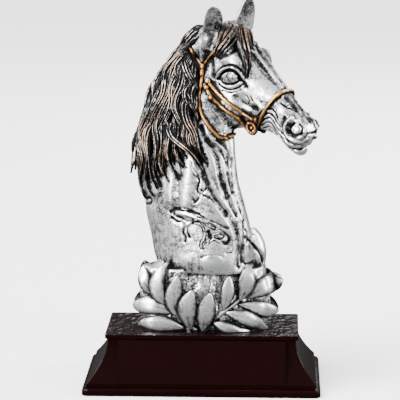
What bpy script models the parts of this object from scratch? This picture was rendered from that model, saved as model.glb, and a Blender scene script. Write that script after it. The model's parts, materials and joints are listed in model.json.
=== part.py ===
"""Horse head trophy: a cast bust of a bridled horse, rising from a wreath of laurel, on a moulded plinth.

Two solids. The plinth is moulded, with coved sides, a flat panel in front and a thin top slab. The
bust is one casting: neck, head, ears, mane, bridle, the block under the neck and its laurel leaves.
The horse looks along +X and turns its head towards -Y, which is the front. +Z is up, and the origin
is the middle of the plinth's underside. Lengths are in millimetres until the last step.
"""

import math

import bmesh
import bpy
import numpy as np
from mathutils import Vector
from mathutils.bvhtree import BVHTree

MM = 0.001

# Driving sizes of the plinth
TOP_WIDTH = 103.0
TOP_DEPTH = 50.5
SLAB_THICKNESS = 2.4
SLAB_LIP = 1.6
COVE_HEIGHT = 22.0
COVE_SPREAD = 10.9
BAND_HEIGHT = 2.0
FOOT_STEP = 2.4
FOOT_HEIGHT = 4.1
FOOT_ROUND = 1.8
FOOT_CORNER = 3.0
COVE_CORNER = 0.6
SLAB_CORNER = 1.2
PANEL_WIDTH = 89.0
PANEL_PROUD = 0.9
PANEL_DROP = 0.3

# Driving sizes of the casting
HORSE_HEIGHT = 176.0
SEAT_GAP = 0.3
BUST_TRIANGLES = 8800

# The carving is given for a figure this tall, and keeps its proportions when HORSE_HEIGHT changes
DRAWN_HEIGHT = 176.0
VOXEL = 0.75

# The head's own frame, in the drawn figure: u runs from poll to muzzle, v towards the forehead,
# w to the far side
POLL = Vector((10.5, 4.7, 160.8))
HEAD_YAW = math.radians(38)
HEAD_PITCH = math.radians(36)
HEAD_ROLL = math.radians(3)

PLINTH_HEIGHT = FOOT_HEIGHT + BAND_HEIGHT + COVE_HEIGHT + SLAB_THICKNESS


def smooth_rows(rows, count):
    """A smooth curve through rows of numbers, sampled evenly from the first row to the last."""
    rows = np.asarray(rows, float)
    padded = np.vstack([2 * rows[0] - rows[1], rows, 2 * rows[-1] - rows[-2]])
    place = np.linspace(0, len(rows) - 1, count)
    first = np.minimum(place.astype(int), len(rows) - 2)
    f = (place - first)[:, None]
    a, b, c, d = (padded[first + i] for i in range(4))
    return 0.5 * (2 * b + (c - a) * f + (2 * a - 5 * b + 4 * c - d) * f**2 + (3 * b - a - 3 * c + d) * f**3)


def loft(bm, rings):
    """A closed skin over rings of points, each ring joined to the next, with flat ends."""
    loops = [[bm.verts.new(p) for p in ring] for ring in rings]
    for low, high in zip(loops, loops[1:]):
        for i in range(len(low)):
            j = (i + 1) % len(low)
            bm.faces.new((low[i], low[j], high[j], high[i]))
    bm.faces.new(list(reversed(loops[0])))
    bm.faces.new(loops[-1])


def ball(bm, place, sizes, axes, detail=12):
    """A ball stretched to three radii along three directions."""
    made = bmesh.ops.create_uvsphere(bm, u_segments=2 * detail, v_segments=detail, radius=1.0)
    for vert in made["verts"]:
        shift = sum((axis * (size * c) for axis, size, c in zip(axes, sizes, vert.co)), Vector())
        vert.co = Vector(place) + shift


def cord(bm, centres, outwards, sizes, sides=8):
    """A flattened tube along a path; sizes gives half width and half thickness at each point."""
    rings = []
    last = len(centres) - 1
    for i, (centre, outward, (wide, thick)) in enumerate(zip(centres, outwards, sizes)):
        along = (centres[min(i + 1, last)] - centres[max(i - 1, 0)]).normalized()
        off = (outward - along * outward.dot(along)).normalized()
        across = along.cross(off)
        turns = np.linspace(0, 2 * math.pi, sides, endpoint=False)
        rings.append([centre + across * (wide * math.cos(a)) + off * (thick * math.sin(a)) for a in turns])
    loft(bm, rings)


# The front drawing. Locks, straps and leaves are laid out on it as x to the right and y down, and
# each of their points lies where the line of sight through it meets the skin below.

EYE = Vector((40.3, -1134.5, 288.8))
SIGHT_YAW = math.radians(2.12)
SIGHT_PITCH = math.radians(-11.0)
SIGHT_LENGTH = 2160.0
SIGHT_MIDDLE = 200.0


def sight(x, y):
    """The line of sight from the eye through a point of the front drawing."""
    right = Vector((math.cos(SIGHT_YAW), math.sin(SIGHT_YAW), 0))
    level = Vector((-math.sin(SIGHT_YAW), math.cos(SIGHT_YAW), 0))
    ahead = level * math.cos(SIGHT_PITCH) + Vector((0, 0, math.sin(SIGHT_PITCH)))
    up = right.cross(ahead)
    line = ahead * SIGHT_LENGTH + right * (x - SIGHT_MIDDLE) + up * (SIGHT_MIDDLE - y)
    return line.normalized()


def seen_on(tree, x, y, out=0.0):
    """The point of a skin that is seen at x, y of the drawing, lifted by out, and the skin's normal there.

    Where the line of sight passes beside the skin, the nearest point of the skin is taken.
    """
    line = sight(x, y)
    place, normal, _, _ = tree.ray_cast(EYE, line)
    if place is None:
        reach = []
        for far in np.arange(1100.0, 1240.0, 2.0):
            near, side, _, gap = tree.find_nearest(EYE + line * far)
            reach.append((gap, far, near, side))
        gap, far, near, side = min(reach, key=lambda found: found[0])
        place, normal = EYE + line * far, side
        place -= side * min(gap, 2.0)
    return place + normal * out, normal


def seen_path(tree, drawn, outs, count):
    """A drawn path laid on a skin: its centres and outward directions."""
    rows = []
    for (x, y), out in zip(smooth_rows(drawn, count), np.interp(np.linspace(0, 1, count), *outs)):
        place, normal = seen_on(tree, x, y, out)
        rows.append((*place, *normal))
    rows = np.array(rows)
    for _ in range(2):
        rows[1:-1] = 0.25 * rows[:-2] + 0.5 * rows[1:-1] + 0.25 * rows[2:]
    return [Vector(row[:3]) for row in rows], [Vector(row[3:]) for row in rows]


def head_axes():
    """The directions u, v and w of the head's frame."""
    forward = Vector((math.cos(HEAD_YAW), -math.sin(HEAD_YAW), 0))
    side = Vector((math.sin(HEAD_YAW), math.cos(HEAD_YAW), 0))
    up = Vector((0, 0, 1))
    u = forward * math.cos(HEAD_PITCH) - up * math.sin(HEAD_PITCH)
    v = forward * math.sin(HEAD_PITCH) + up * math.cos(HEAD_PITCH)
    w = side * math.cos(HEAD_ROLL) + v * math.sin(HEAD_ROLL)
    return u, v * math.cos(HEAD_ROLL) - side * math.sin(HEAD_ROLL), w


U, V, W = head_axes()


def on_head(u, v, w):
    """A point of the head's frame, in the figure's frame."""
    return POLL + U * u + V * v + W * w


def far_side(place):
    """The same point on the other side of the head."""
    return place - W * (2 * (place - POLL).dot(W))


# Head

# u; heights v of the forehead line and the jaw line; half widths of nose, cheek and jaw; height of the cheek
HEAD_SECTIONS = (
    (-14, -9, -26, 4, 6.5, 4, -18),
    (-6, -2.5, -31, 5.5, 8.5, 5, -15),
    (4, 2.5, -34, 6.5, 10.5, 6, -13),
    (14, 3.8, -39, 8.5, 13.2, 7.6, -12),
    (22, 3.2, -42, 9.5, 14.0, 8.2, -11),
    (30, 2.2, -42.5, 9.0, 12.8, 8.2, -12),
    (38, 1.2, -38.5, 7.4, 11.2, 7.8, -12),
    (46, 0.4, -31, 6.4, 9.8, 7, -11),
    (54, -0.2, -25.6, 5.6, 8.8, 6, -10.5),
    (62, -1.5, -22.3, 5.2, 8.0, 5.3, -10),
    (70, -3.0, -22.6, 5.4, 8.2, 5.4, -10),
    (74.6, -4.1, -22.0, 5.0, 7.8, 5.0, -10),
    (77.8, -6.6, -18.6, 3.8, 5.6, 4.0, -11),
    (79.8, -10.5, -15, 1.6, 2.6, 1.8, -12),
)


def head_ring(u, top, bottom, nose, cheek, jaw, cheek_v, count=40, out=0.0):
    """One closed section of the head, round from the forehead line."""
    half = [
        (0.0, top),
        (0.62 * nose, top - 0.25),
        (nose, top - 1.6),
        (0.93 * cheek, 0.5 * (top + cheek_v)),
        (cheek, cheek_v - 2.5),
        (0.5 * (cheek + jaw) + 0.6, 0.5 * (cheek_v + bottom)),
        (jaw, bottom + 2.6),
        (0.5 * jaw, bottom + 0.3),
        (0.0, bottom),
    ]
    other = [(-w, v) for w, v in reversed(half[1:-1])]
    outline = smooth_rows((half + other) * 3, 3 * count + 1)[count : 2 * count]
    middle = np.array((0.0, 0.5 * (top + bottom)))
    away = outline - middle
    outline = outline + away / np.linalg.norm(away, axis=1)[:, None] * out
    return [on_head(u, v, w) for w, v in outline]


HEAD_ROWS = smooth_rows(HEAD_SECTIONS, 53)


def add_head(bm):
    """Skull, cheeks, brows, eyes, muzzle and lips."""
    loft(bm, [head_ring(*row) for row in HEAD_ROWS])
    for side in (-1, 1):
        axes = (U, V, W * side)
        ball(bm, on_head(27, -27.5, 9.0 * side), (15, 14.5, 5.8), axes)
        ball(bm, on_head(21.5, -3.0, 9.4 * side), (10, 5.6, 6.0), axes)
        ball(bm, on_head(27.8, -8.0, 10.8 * side), (4.7, 3.9, 4.7), axes)
        ball(bm, on_head(42, -12.0, 8.8 * side), (13, 1.8, 2.2), axes)
        ball(bm, on_head(72.2, -7.4, 5.4 * side), (5.8, 4.5, 3.9), axes)
    ball(bm, on_head(75.2, -11.2, 0), (4.8, 5.2, 6.0), (U, V, W))
    ball(bm, on_head(76.6, -19.3, 0), (5.6, 3.9, 4.8), (U, V, W))


# which side; heading of the hollow in degrees from +X towards the back; sideways bow
EARS = ((-1, -82, 1.6, 0.0), (1, -50, 2.0, 0.25))

# share of the length; half width; depth of the back; depth of the hollow
EAR_SECTIONS = (
    (-0.34, 4.4, 4.6, 0.0),
    (-0.15, 4.6, 4.8, 0.0),
    (0.05, 5.4, 4.8, 1.4),
    (0.25, 6.0, 4.8, 3.0),
    (0.5, 6.0, 4.4, 2.9),
    (0.72, 5.4, 3.8, 2.3),
    (0.88, 4.3, 3.0, 1.4),
    (0.97, 2.8, 2.2, 0.5),
    (1.01, 1.2, 1.4, 0.0),
)


def add_ears(bm):
    """Two pricked ears, each a cupped leaf."""
    for side, heading, sway, spread in EARS:
        root = on_head(5, -8.5, 11.6 * side)
        tip = on_head(-3.6, 14.4 + 0.7 * side, 13.8 * side)
        axis = (tip - root).normalized()
        heading = math.radians(heading)
        front = Vector((math.cos(heading), math.sin(heading), 0))
        front = (front - axis * front.dot(axis)).normalized()
        across = axis.cross(front)
        length = (tip - root).length
        rings = []
        for share, wide, back, hollow in smooth_rows(EAR_SECTIONS, 25):
            bow = sway * math.sin(math.pi * min(max(share, 0.0), 1.0))
            centre = root + axis * (share * length) + W * bow
            broad = wide * (1 + spread * (1 - share) ** 2)
            ring = []
            for turn in np.linspace(0, 2 * math.pi, 28, endpoint=False):
                c, s = math.cos(turn), math.sin(turn)
                inward = -back * s if s > 0 else -hollow * (-s) ** 1.3
                ring.append(centre + across * (broad * c) + front * (inward + 1.8))
            rings.append(ring)
        loft(bm, rings)


# Neck

# x and z of the crest and of the throat as seen from the front, turn in degrees, half width
NECK_SECTIONS = (
    (-24.5, 31.5, 27, 31.5, 22, 17.0),
    (-27.3, 40, 26.6, 38, 22, 17.8),
    (-30.2, 54, 26.0, 50, 22, 17.0),
    (-32.3, 68, 23.2, 63, 23, 16),
    (-33.6, 82, 19.9, 76, 25, 14.5),
    (-33, 98, 17.9, 88, 28, 13),
    (-29.6, 114, 17, 99, 31, 12),
    (-23.6, 129.5, 16, 109, 34, 11.3),
    (-14.2, 144.5, 17, 117, 37, 10.8),
    (-3, 155, 19, 124, 38, 10),
    (7, 159.5, 22, 132, 38, 8.5),
)
NECK_ROWS = smooth_rows(NECK_SECTIONS, 81)


def on_neck(share, turn, out=0.0):
    """A point on the neck: share 0 at the block and 1 at the poll, turn in degrees round from the crest."""
    place = min(max(share, 0.0), 1.0) * (len(NECK_ROWS) - 1)
    low = min(int(place), len(NECK_ROWS) - 2)
    row = NECK_ROWS[low] + (NECK_ROWS[low + 1] - NECK_ROWS[low]) * (place - low)
    crest_x, crest_z, throat_x, throat_z, yaw, half_width = row
    yaw = math.radians(yaw)
    seen = 0.5 * (throat_x - crest_x)
    length = math.sqrt(seen**2 - (half_width * math.sin(yaw)) ** 2) / math.cos(yaw)
    middle = Vector((0.5 * (crest_x + throat_x), 3.5 * share, 0.5 * (crest_z + throat_z)))
    rise = (crest_z - throat_z) / (2 * seen)
    ahead = Vector((math.cos(yaw), -math.sin(yaw), -rise * math.cos(yaw)))
    near = Vector((-math.sin(yaw), -math.cos(yaw), 0))
    c, s = math.cos(math.radians(turn)), math.sin(math.radians(turn))
    narrowing = 1.0 - 0.12 * c
    return middle - ahead * ((length + out) * c) + near * ((half_width + out) * s * narrowing)


# the ridge beside the windpipe, and the folds that run down from the jaw, as drawn
NECK_FOLDS = (
    ((203, 134), (208, 148), (214, 168), (222, 190), (230, 210), (236, 228), (240, 246)),
    ((216, 142), (222, 158), (227, 178), (233, 200), (240, 222)),
)


def add_neck(bm):
    """Neck and chest, cut off flat below."""
    turns = np.linspace(0, 360, 56, endpoint=False)
    loft(bm, [[on_neck(share, turn) for turn in turns] for share in np.linspace(0, 1, 48)])
    level = (Vector((1, 0, 0)), Vector((0, 1, 0)), Vector((0, 0, 1)))
    ball(bm, (8.5, -8.5, 44.5), (12, 10.5, 15.5), level)
    ball(bm, (23, 5, 38.5), (11, 8.8, 15.5), level)
    tree = BVHTree.FromBMesh(bm)
    for drawn in NECK_FOLDS:
        centres, outwards = seen_path(tree, drawn, ((0, 1), (-2.4, -2.2)), 16)
        cord(bm, centres, outwards, [(4.2, 3.0)] * 16)


# Mane

# the flow of the hair as drawn, from the crest at the left to the jaw at the right
MANE_FLOW = (
    ((191, 41), (179, 50), (165, 68), (153, 92), (145, 114), (139, 138), (134, 160), (141, 188)),
    ((190, 44), (176, 60), (163, 84), (154, 106), (149, 128), (145, 150), (144, 174), (148, 212)),
    ((190, 49), (181, 65), (172, 86), (164, 107), (157, 128), (153, 150), (155, 174), (160, 203)),
    ((192, 54), (185, 70), (179, 88), (173, 107), (167, 126), (165, 148), (168, 172), (174, 202)),
    ((194, 59), (189, 73), (185, 88), (180, 104), (176, 121), (173, 140), (174, 160), (176, 192)),
    ((197, 68), (195, 82), (192, 95), (189, 108), (186, 121), (186, 135), (190, 148), (197, 162)),
    ((198, 80), (197, 92), (196, 104), (196, 117), (197, 130), (199, 142), (202, 154), (206, 168)),
)
MANE_LOCKS = 15

# locks that cross the flow
MANE_SWEEPS = (
    ((189, 52), (187, 70), (186, 85), (181, 97), (179, 108), (183, 120), (189, 132), (195, 144)),
    ((186, 60), (190, 72), (195, 83), (199, 92)),
    ((170, 122), (175, 136), (184, 144), (192, 151), (198, 160), (203, 170)),
    ((176, 70), (178, 85), (174, 100), (168, 112), (161, 124), (156, 140)),
)


def lock_sizes(count, wide, thick):
    """A lock is full for most of its length and ends in a point."""
    t = np.linspace(0, 1, count)
    size = np.clip(np.minimum(1.0, 4.0 * t + 0.45) * (1 - t**5), 0.24, 1)
    return [(wide * s, thick * (0.4 + 0.6 * s)) for s in size]


# locks along the crest: turn round the neck in degrees, shares of the neck at root and tip, how proud they lie
CREST_LOCKS = (
    (14, 0.97, 0.36, 0.8),
    (2, 0.97, 0.375, 1.05),
    (-10, 0.97, 0.36, 0.8),
    (8, 0.7, 0.29, 0.45),
)
CREST_RISE = ((0, 0.3, 0.5, 0.75, 1.0), (0.4, 1.6, 0.8, 2.6, 7.0))


def add_mane(bm, tree):
    """Locks that sweep from the crest over the near side, and plainer ones over the far side."""
    flow = np.array([smooth_rows(row, 24) for row in MANE_FLOW])
    for i in range(MANE_LOCKS):
        place = i * (len(flow) - 1) / (MANE_LOCKS - 1)
        low = min(int(place), len(flow) - 2)
        row = flow[low] + (flow[low + 1] - flow[low]) * (place - low)
        for layer in range(2):
            first = (0, 9)[layer] + (i * 5) % 4
            last = (15, 24)[layer] - (i * 7) % 5
            t = np.linspace(0, 1, last - first)
            wave = 2.2 * np.sin(2 * math.pi * (t * 1.3 + 0.37 * i + 0.5 * layer)) * t
            drawn = row[first:last] + np.stack([wave + 1.6 * layer, 0 * wave], 1)
            centres, outwards = seen_path(tree, drawn, ((0, 0.5, 1), (1.0, 2.6 - 0.5 * layer, 1.0)), 14)
            cord(bm, centres, outwards, lock_sizes(14, 2.9, 2.0))
    for drawn in MANE_SWEEPS:
        centres, outwards = seen_path(tree, drawn, ((0, 0.5, 1), (2.0, 3.6, 2.2)), 16)
        cord(bm, centres, outwards, lock_sizes(16, 2.0, 1.6))
    for turn, start, end, proud in CREST_LOCKS:
        shares = np.linspace(start, end, 24)
        t = np.linspace(0, 1, 24)
        outs = proud * np.interp(t, *CREST_RISE)
        centres = [on_neck(s, turn + 5 * math.sin(9 * s + turn), out) for s, out in zip(shares, outs)]
        outwards = [on_neck(s, turn, 6) - on_neck(s, turn, 0) for s in shares]
        cord(bm, centres, outwards, lock_sizes(24, 4.2, 2.6))
    for i in range(13):
        root = 0.97 - i * 0.045
        fall = 0.24 + 0.04 * math.sin(2.1 * i)
        t = np.linspace(0, 1, 14)
        shares = root - fall * t
        turns = -8 - (50 + 9 * math.sin(1.7 * i)) * t**0.8 + 4 * np.sin(5 * t + i)
        outs = 1.2 + 2.6 * np.sin(math.pi * np.minimum(1, t + 0.15)) ** 0.8
        centres = [on_neck(*row) for row in zip(shares, turns, outs)]
        outwards = [on_neck(s, a, 6) - on_neck(s, a, 0) for s, a in zip(shares, turns)]
        cord(bm, centres, outwards, lock_sizes(14, 3.2, 2.0))


FORELOCK = (
    ((232, 25), (226, 31), (223, 39), (219, 48), (216, 56)),
    ((236, 25), (231, 33), (228, 42), (221, 51)),
    ((240, 26), (237, 34), (238, 46), (243, 58), (246, 68), (248, 78)),
    ((241, 25), (244, 34), (246, 46), (250, 58), (249, 70)),
    ((242, 26), (249, 32), (253, 39), (256, 46)),
    ((228, 23), (238, 25), (246, 29), (251, 34)),
)


def add_forelock(bm, tree):
    """Locks that fall between the ears over the forehead."""
    for drawn in FORELOCK:
        centres, outwards = seen_path(tree, drawn, ((0, 0.4, 1), (0.8, 1.5, 0.6)), 14)
        cord(bm, centres, outwards, lock_sizes(14, 2.0, 1.5))


# Block and laurel

BLOCK_HEIGHT = 32.5
BLOCK_ROOT = 2.5
BLOCK_X = 34.5
BLOCK_Y = 15.0
BLOCK_MIDDLE = 1.2


def on_block(turn, z, out=0.0):
    """A point on the block's side: turn in degrees, 0 in front and 90 at the horse's front."""
    a = math.radians(turn)
    taper = 1.0 - 0.10 * max(0.0, 1 - max(z, 0) / 9.0) ** 2 - 0.06 * max(0.0, (z - 22) / 10.5) ** 2
    ripple = 1.0 + 0.025 * math.sin(5 * a + 0.11 * z) + 0.015 * math.sin(11 * a - 0.2 * z)
    c, s = math.cos(a), math.sin(a)
    x = math.copysign(abs(s) ** 0.85, s) * (BLOCK_X * taper * ripple + out)
    y = math.copysign(abs(c) ** 0.85, c) * (BLOCK_Y * taper * ripple + out)
    return Vector((BLOCK_MIDDLE + x, -y, z))


def add_block(bm):
    """The rough block that the neck stands on."""
    turns = np.linspace(0, 360, 72, endpoint=False)
    rings = [[on_block(turn, z) for turn in turns] for z in np.linspace(-BLOCK_ROOT, BLOCK_HEIGHT, 15)]
    loft(bm, rings)
    level = (Vector((1, 0, 0)), Vector((0, 1, 0)), Vector((0, 0, 1)))
    ball(bm, (-22.5, -2, 30.0), (5.6, 8, 5.0), level)


# each leaf as drawn: base, middle and tip of its rib, its full width, how blunt its tip is, its lift
LEAVES = (
    (((191, 327), (188, 309), (193, 289)), 16, 0.2, 1.0),
    (((181, 318), (176, 299), (178, 275)), 15, 0.3, 0.4),
    (((169, 307), (161, 289), (166, 267)), 14, 0.3, 0.2),
    (((155, 298), (148, 282), (148, 267)), 12, 0.1, -1.0),
    (((177, 313), (157, 305), (139, 304)), 15, 1.0, -0.4),
    (((184, 326), (164, 321), (146, 319)), 13, 0.4, 0.5),
    (((203, 329), (206, 311), (210, 291)), 15, 0.2, 1.0),
    (((223, 310), (227, 293), (228, 274)), 11, 0.2, 0.4),
    (((239, 300), (245, 284), (246, 267)), 14, 0.6, 0.4),
    (((246, 298), (262, 286), (280, 277)), 16, 1.0, -0.8),
    (((239, 304), (256, 307), (272, 310)), 13, 1.0, -0.6),
    (((226, 312), (243, 316), (263, 323)), 12, 0.3, 0.5),
    (((213, 321), (230, 326), (249, 332)), 10, 0.1, 0.6),
)
STEMS = (
    ((197, 329), (186, 322), (175, 311), (163, 301), (152, 294)),
    ((205, 329), (217, 317), (228, 308), (238, 300), (246, 288), (254, 280)),
)
LEAF_THICK = 1.7


def add_laurel(bm, tree):
    """Two sprays of laurel that meet in front, and their like behind."""
    millimetres = (Vector((0, 0, 0)) - EYE).length / SIGHT_LENGTH
    made = []
    for drawn, width, blunt, lift in LEAVES:
        outs = ((0, 0.5, 0.8, 1), (1.2 + lift, 3.2 + lift, 3.9 + lift, 4.1 + lift))
        centres, outwards = seen_path(tree, drawn, outs, 13)
        t = np.linspace(0, 1, 13)
        pointed = np.sin(math.pi * np.clip(t, 0.02, 0.985) ** 1.05) ** 0.72
        rounded = np.sin(math.pi * np.clip(t, 0.02, 0.985) ** 1.5) ** 0.5
        shape = (1 - blunt) * pointed + blunt * rounded
        half = 0.5 * width * millimetres * np.clip(shape / shape.max(), 0.06, 1)
        facing = [(o + Vector((0, -0.7, 0.1))).normalized() for o in outwards]
        made.append((centres, facing, [(h, LEAF_THICK * (0.35 + 0.65 * h / half.max())) for h in half]))
    for drawn in STEMS:
        centres, outwards = seen_path(tree, drawn, ((0, 1), (0.6, 0.6)), 16)
        made.append((centres, outwards, [(1.5, 1.3)] * 16))
    for centres, facing, sizes in made:
        cord(bm, centres, facing, sizes, sides=10)
        behind = [Vector((p.x, -p.y, p.z)) for p in centres]
        cord(bm, behind, [Vector((o.x, -o.y, o.z)) for o in facing], sizes, sides=10)


# Bridle

STRAP_WIDE = 1.15
STRAP_THICK = 0.95
NOSEBAND_U = 52.5

# cheek straps, throatlatch, crown strap and browband, as drawn on the near side
STRAPS = (
    ((207, 81), (213, 88), (221, 96), (230, 104), (240, 111), (250, 117), (257, 121)),
    ((206, 87), (211, 97), (218, 104), (228, 111), (238, 118), (244, 123), (250, 129)),
    (
        *((203, 68), (202, 79), (200, 90), (199, 101), (201, 112)),
        *((205, 120), (212, 130), (220, 138), (228, 137), (234, 134)),
    ),
    ((190, 43), (193, 51), (198, 59), (203, 67)),
    ((203, 67), (208, 60), (214, 53), (220, 46)),
)


def add_bridle(bm, tree):
    """Noseband, cheek straps, throatlatch and browband, with a ring at each end of the bit."""
    row = [np.interp(NOSEBAND_U, HEAD_ROWS[:, 0], column) for column in HEAD_ROWS.T]
    ring = head_ring(*row, out=0.5)
    middle = sum(ring, Vector()) / len(ring)
    band = [ring[i % len(ring)] for i in range(len(ring) + 3)]
    cord(bm, band, [p - middle for p in band], [(STRAP_WIDE, STRAP_THICK)] * len(band))
    for drawn in STRAPS:
        count = 3 * len(drawn)
        centres, outwards = seen_path(tree, drawn, ((0, 1), (0.4, 0.4)), count)
        sizes = [(STRAP_WIDE, STRAP_THICK)] * count
        cord(bm, centres, outwards, sizes)
        other = [far_side(p) for p in centres]
        aims = [far_side(p + o) - far_side(p) for p, o in zip(centres, outwards)]
        cord(bm, other, aims, sizes)
    knot, aim = seen_on(tree, 202.5, 71, 0.5)
    bit, bit_aim = seen_on(tree, 254.5, 128.5, 0.9)
    for flip in (False, True):
        if flip:
            knot, bit = far_side(knot), far_side(bit)
            aim, bit_aim = aim - W * (2 * aim.dot(W)), bit_aim - W * (2 * bit_aim.dot(W))
        across = aim.cross(Vector((0, 0, 1))).normalized()
        ball(bm, knot, (1.5, 3.6, 1.3), (across, aim.cross(across), aim))
        across = bit_aim.cross(V).normalized()
        up = across.cross(bit_aim)
        turns = [i * math.pi / 8 for i in range(19)]
        loop = [bit + across * (2.7 * math.cos(a)) + up * (2.7 * math.sin(a)) for a in turns]
        cord(bm, loop, [bit_aim] * len(loop), [(1.0, 1.0)] * len(loop))
        ball(bm, bit, (1.5, 1.5, 1.0), (across, up, bit_aim), 8)


# Carving

def press(points, normals, path, radius, lift):
    """Raises the surface near a path, or sinks it where lift is negative."""
    path = np.asarray(path, float)
    low, high = path.min(0) - radius, path.max(0) + radius
    near = np.flatnonzero(((points > low) & (points < high)).all(1))
    if not len(near):
        return
    p = points[near]
    best = np.full(len(near), np.inf)
    for a, b in zip(path, path[1:]):
        along = b - a
        t = np.clip(((p - a) @ along) / max(along @ along, 1e-9), 0, 1)
        best = np.minimum(best, np.linalg.norm(p - a - t[:, None] * along, axis=1))
    fade = np.clip(1 - (best / radius) ** 2, 0, 1) ** 2
    points[near] += normals[near] * (lift * fade)[:, None]


# each row: radius, lift, then points u, v, w of a furrow or a ridge on the near side of the face
FACE_STROKES = (
    (
        *(1.8, -1.3),
        ((19.5, -12.6, 14.5), (22.5, -8.6, 15.4), (27, -4.6, 15.6), (32, -5.0, 14.6), (37, -8.0, 12.6)),
    ),
    (
        *(1.6, 0.7),
        ((20.5, -13, 14.5), (23.5, -8.9, 15.6), (27.5, -6.0, 16), (31.6, -6.6, 15), (34.5, -9.0, 13.5)),
    ),
    (2.0, -1.3, ((21, -13.4, 14), (25, -13.2, 14.4), (30, -12.6, 14), (35, -9.8, 12.6), (38, -9.5, 12))),
    (3.6, -3.6, ((71.6, -6.2, 10.0), (73.6, -5.6, 9.6))),
    (
        *(1.3, -1.4),
        (
            *((57, -19.4, 8.4), (65, -19.8, 7.2), (71, -20.2, 6.4)),
            *((76, -19.2, 5.4), (79.6, -15.6, 3), (81, -12.2, 0)),
        ),
    ),
    (2.2, -0.9, ((36, -2.6, 9.6), (44, -3.6, 9), (54, -4.4, 8.2), (62, -5.4, 8))),
    (2.4, -0.9, ((60, -11, 8.6), (64, -9, 8.6), (66, -4.5, 7.6))),
)
NOSTRIL_TURNS = np.linspace(1.9, 5.4, 12)
NOSTRIL_RIM = tuple((72.2 + 4.7 * math.cos(a), -6.0 + 4.7 * math.sin(a), 8.8) for a in NOSTRIL_TURNS)

# the same for the neck, as drawn: radius, lift, points
NECK_STROKES = (
    (
        *(2.2, -1.3),
        (
            *((176, 139), (185, 145), (193, 152), (199, 163), (205, 177)),
            *((210, 190), (217, 202), (226, 213), (233, 224)),
        ),
    ),
    (2.2, -1.2, ((233, 224), (237, 234), (239, 248), (238, 266))),
    (2.4, -1.0, ((203, 145), (212, 160), (219, 178), (226, 196), (234, 214), (240, 232))),
    (1.6, -0.8, ((247, 240), (254, 248), (259, 258))),
)


def carve(mesh):
    """Works the furrows of face and neck into the finished skin."""
    count = len(mesh.vertices)
    points = np.empty(count * 3)
    mesh.vertices.foreach_get("co", points)
    points = points.reshape(-1, 3)
    normals = np.empty(count * 3)
    mesh.vertices.foreach_get("normal", normals)
    normals = normals.reshape(-1, 3)
    tree = BVHTree.FromPolygons([tuple(p) for p in points], [tuple(f.vertices) for f in mesh.polygons])
    for radius, lift, path in FACE_STROKES + ((1.6, 0.9, NOSTRIL_RIM),):
        for side in (-1, 1):
            stroke = [on_head(u, v, w * side) for u, v, w in path]
            press(points, normals, stroke, radius, lift)
    for radius, lift, drawn in NECK_STROKES:
        stroke = [seen_on(tree, x, y)[0] for x, y in smooth_rows(drawn, 4 * len(drawn))]
        press(points, normals, stroke, radius, lift)
    mesh.vertices.foreach_set("co", points.ravel())
    mesh.update()


# Assembly

def material(name, colour, roughness, metallic):
    """A plain material of one colour."""
    made = bpy.data.materials.new(name)
    made.use_nodes = True
    shader = made.node_tree.nodes["Principled BSDF"]
    shader.inputs["Base Color"].default_value = (*colour, 1.0)
    shader.inputs["Roughness"].default_value = roughness
    shader.inputs["Metallic"].default_value = metallic
    return made


def new_object(name, mesh, collection):
    made = bpy.data.objects.new(name, mesh)
    collection.objects.link(made)
    return made


def evaluated_mesh(obj):
    """The mesh of an object as its modifiers leave it."""
    graph = bpy.context.evaluated_depsgraph_get()
    return bpy.data.meshes.new_from_object(obj.evaluated_get(graph))


def keep_outer_skin(mesh):
    """Fills the pockets left between the forms: only the outer skin stays."""
    bm = bmesh.new()
    bm.from_mesh(mesh)
    bm.verts.ensure_lookup_table()
    unseen = set(bm.verts)
    shells = []
    while unseen:
        shell = [unseen.pop()]
        for vert in shell:
            for edge in vert.link_edges:
                other = edge.other_vert(vert)
                if other in unseen:
                    unseen.remove(other)
                    shell.append(other)
        shells.append(shell)
    shells.sort(key=len)
    for shell in shells[:-1]:
        bmesh.ops.delete(bm, geom=shell, context="VERTS")
    bm.to_mesh(mesh)
    bm.free()


def cut_seat(mesh):
    """Cuts the block off flat where it meets the plinth."""
    bm = bmesh.new()
    bm.from_mesh(mesh)
    everything = bm.verts[:] + bm.edges[:] + bm.faces[:]
    bmesh.ops.bisect_plane(bm, geom=everything, plane_co=(0, 0, 0), plane_no=(0, 0, -1), clear_outer=True)
    rim = [edge for edge in bm.edges if edge.is_boundary]
    bmesh.ops.holes_fill(bm, edges=rim)
    bmesh.ops.triangulate(bm, faces=[face for face in bm.faces if len(face.verts) > 4])
    bm.to_mesh(mesh)
    bm.free()


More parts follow.
